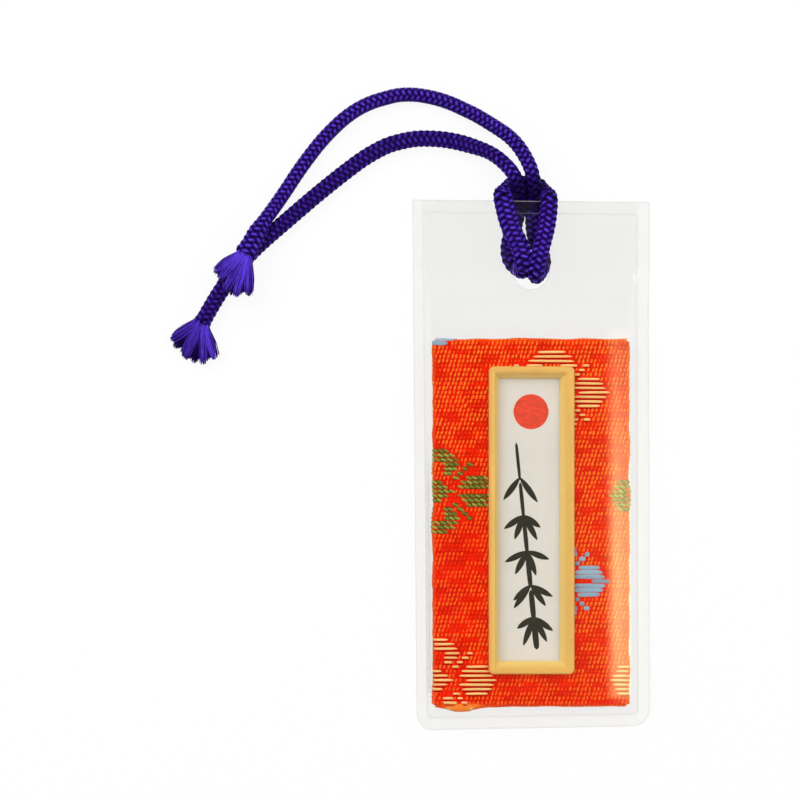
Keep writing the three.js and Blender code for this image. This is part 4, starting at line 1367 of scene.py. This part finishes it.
def film_under(sleeve, front):
    """The underside of a film over x and y: at the weld's level round the edge, along the card
    inside it, raised like a tent over the window frame, and closing to the flat strip at the top.
    On the front film a fine bead runs inside the weld, and the strip is slightly uneven."""
    weld, margin, corner = (k / MM for k in (sleeve.weld, sleeve.margin, sleeve.corner))
    room = sleeve.clearance / MM
    ramp_end = FRONT_HIGH[1] - sleeve.strip / MM
    ramp_start = ramp_end - sleeve.ramp / MM
    strip_level = BACK_TOP - sleeve.thickness / MM
    lift = WELD_RISE if front else 0.0
    weld_level = FRONT_LOW[2] - WELD_RISE
    edge_level = CARD_HIGH[2] + room
    tent_level = BEZEL_HIGH[2] + room

    def under(x, y):
        inset = film_inset(x, y, corner)
        wall = smooth(weld, weld + margin, inset)
        strip = smooth(ramp_start, ramp_end, y)
        level = mix(weld_level, strip_level, strip) + lift
        if front:
            start, stop = np.where(x < 0, 1.2, 4.4), np.where(x < 0, 2.2, 3.0)
            tent = 1 - smooth(HALF_BEZEL[0] + start, HALF_CARD[0] + stop, np.abs(x))
            tent = tent * smooth(CARD_LOW[1] - 2.2, CARD_LOW[1] + 0.7, y)
            tent = tent * (1 - smooth(BEZEL_HIGH[1] + sleeve.travel / MM + room, ramp_start, y))
            bed = mix(mix(edge_level, tent_level, tent), strip_level + lift, strip)
        else:
            bed = strip_level * strip
        at, high, wide = WELD_BEAD
        ridge = high * np.exp(-(((inset - at) / wide) ** 2))
        uneven = 0.035 * ripple(x, y, 11.0, 1) * strip * wall
        return mix(level, bed, wall) + (ridge + uneven if front else 0.0)

    return under


class CHARM_OT_sleeve(bpy.types.Operator):
    """Form the clear sleeve: a front and a back film, welded round the edge and punched"""

    bl_idname = "charm.sleeve"
    bl_label = "Clear sleeve"

    def execute(self, context):
        sleeve = settings().sleeve
        vinyl = vinyl_finish(sleeve)
        flat, quads = film_net(sleeve)
        for node, front in (("sleeve_back_sheet", False), ("sleeve_front_sheet", True)):
            under = film_under(sleeve, front)
            points, faces = thick_sheet(flat, quads, under, sleeve.thickness / MM)
            tone = film_tone(points[:, 0], points[:, 1], sleeve.corner / MM)
            film = add_piece(
                node + ".film", lie_askew(points), faces, vinyl, "sleeve",
                tone=tone, crease=60,
            )
            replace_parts(film, node)
        return {"FINISHED"}


# Panel and registration

STEPS = (
    CHARM_OT_stage, CHARM_OT_cord, CHARM_OT_brocade,
    CHARM_OT_window, CHARM_OT_papers, CHARM_OT_sleeve,
)


class CHARM_PT_panel(bpy.types.Panel):
    """Lists the charm's steps and settings"""

    bl_idname = "CHARM_PT_panel"
    bl_label = "Omamori Charm"
    bl_space_type = "VIEW_3D"
    bl_region_type = "UI"
    bl_category = "Charm"

    def draw(self, context):
        for step in STEPS:
            self.layout.operator(step.bl_idname)
        for name in ("cord", "brocade", "card", "sleeve", "stage"):
            group = getattr(context.scene.omamori, name)
            box = self.layout.box()
            for key in group.bl_rna.properties.keys():
                if key not in {"rna_type", "name"}:
                    box.prop(group, key)


CLASSES = (
    CordSettings, BrocadeSettings, CardSettings, SleeveSettings, StageSettings, CharmSettings,
    *STEPS, CHARM_PT_panel,
)


def register():
    for cls in CLASSES:
        bpy.utils.register_class(cls)
    bpy.types.Scene.omamori = PointerProperty(type=CharmSettings)


def unregister():
    del bpy.types.Scene.omamori
    for cls in reversed(CLASSES):
        bpy.utils.unregister_class(cls)


def main():
    register()
    bpy.ops.charm.stage()
    bpy.ops.charm.cord()
    bpy.ops.charm.brocade()
    bpy.ops.charm.window()
    bpy.ops.charm.papers()
    bpy.ops.charm.sleeve()


if __name__ == "__main__":
    main()
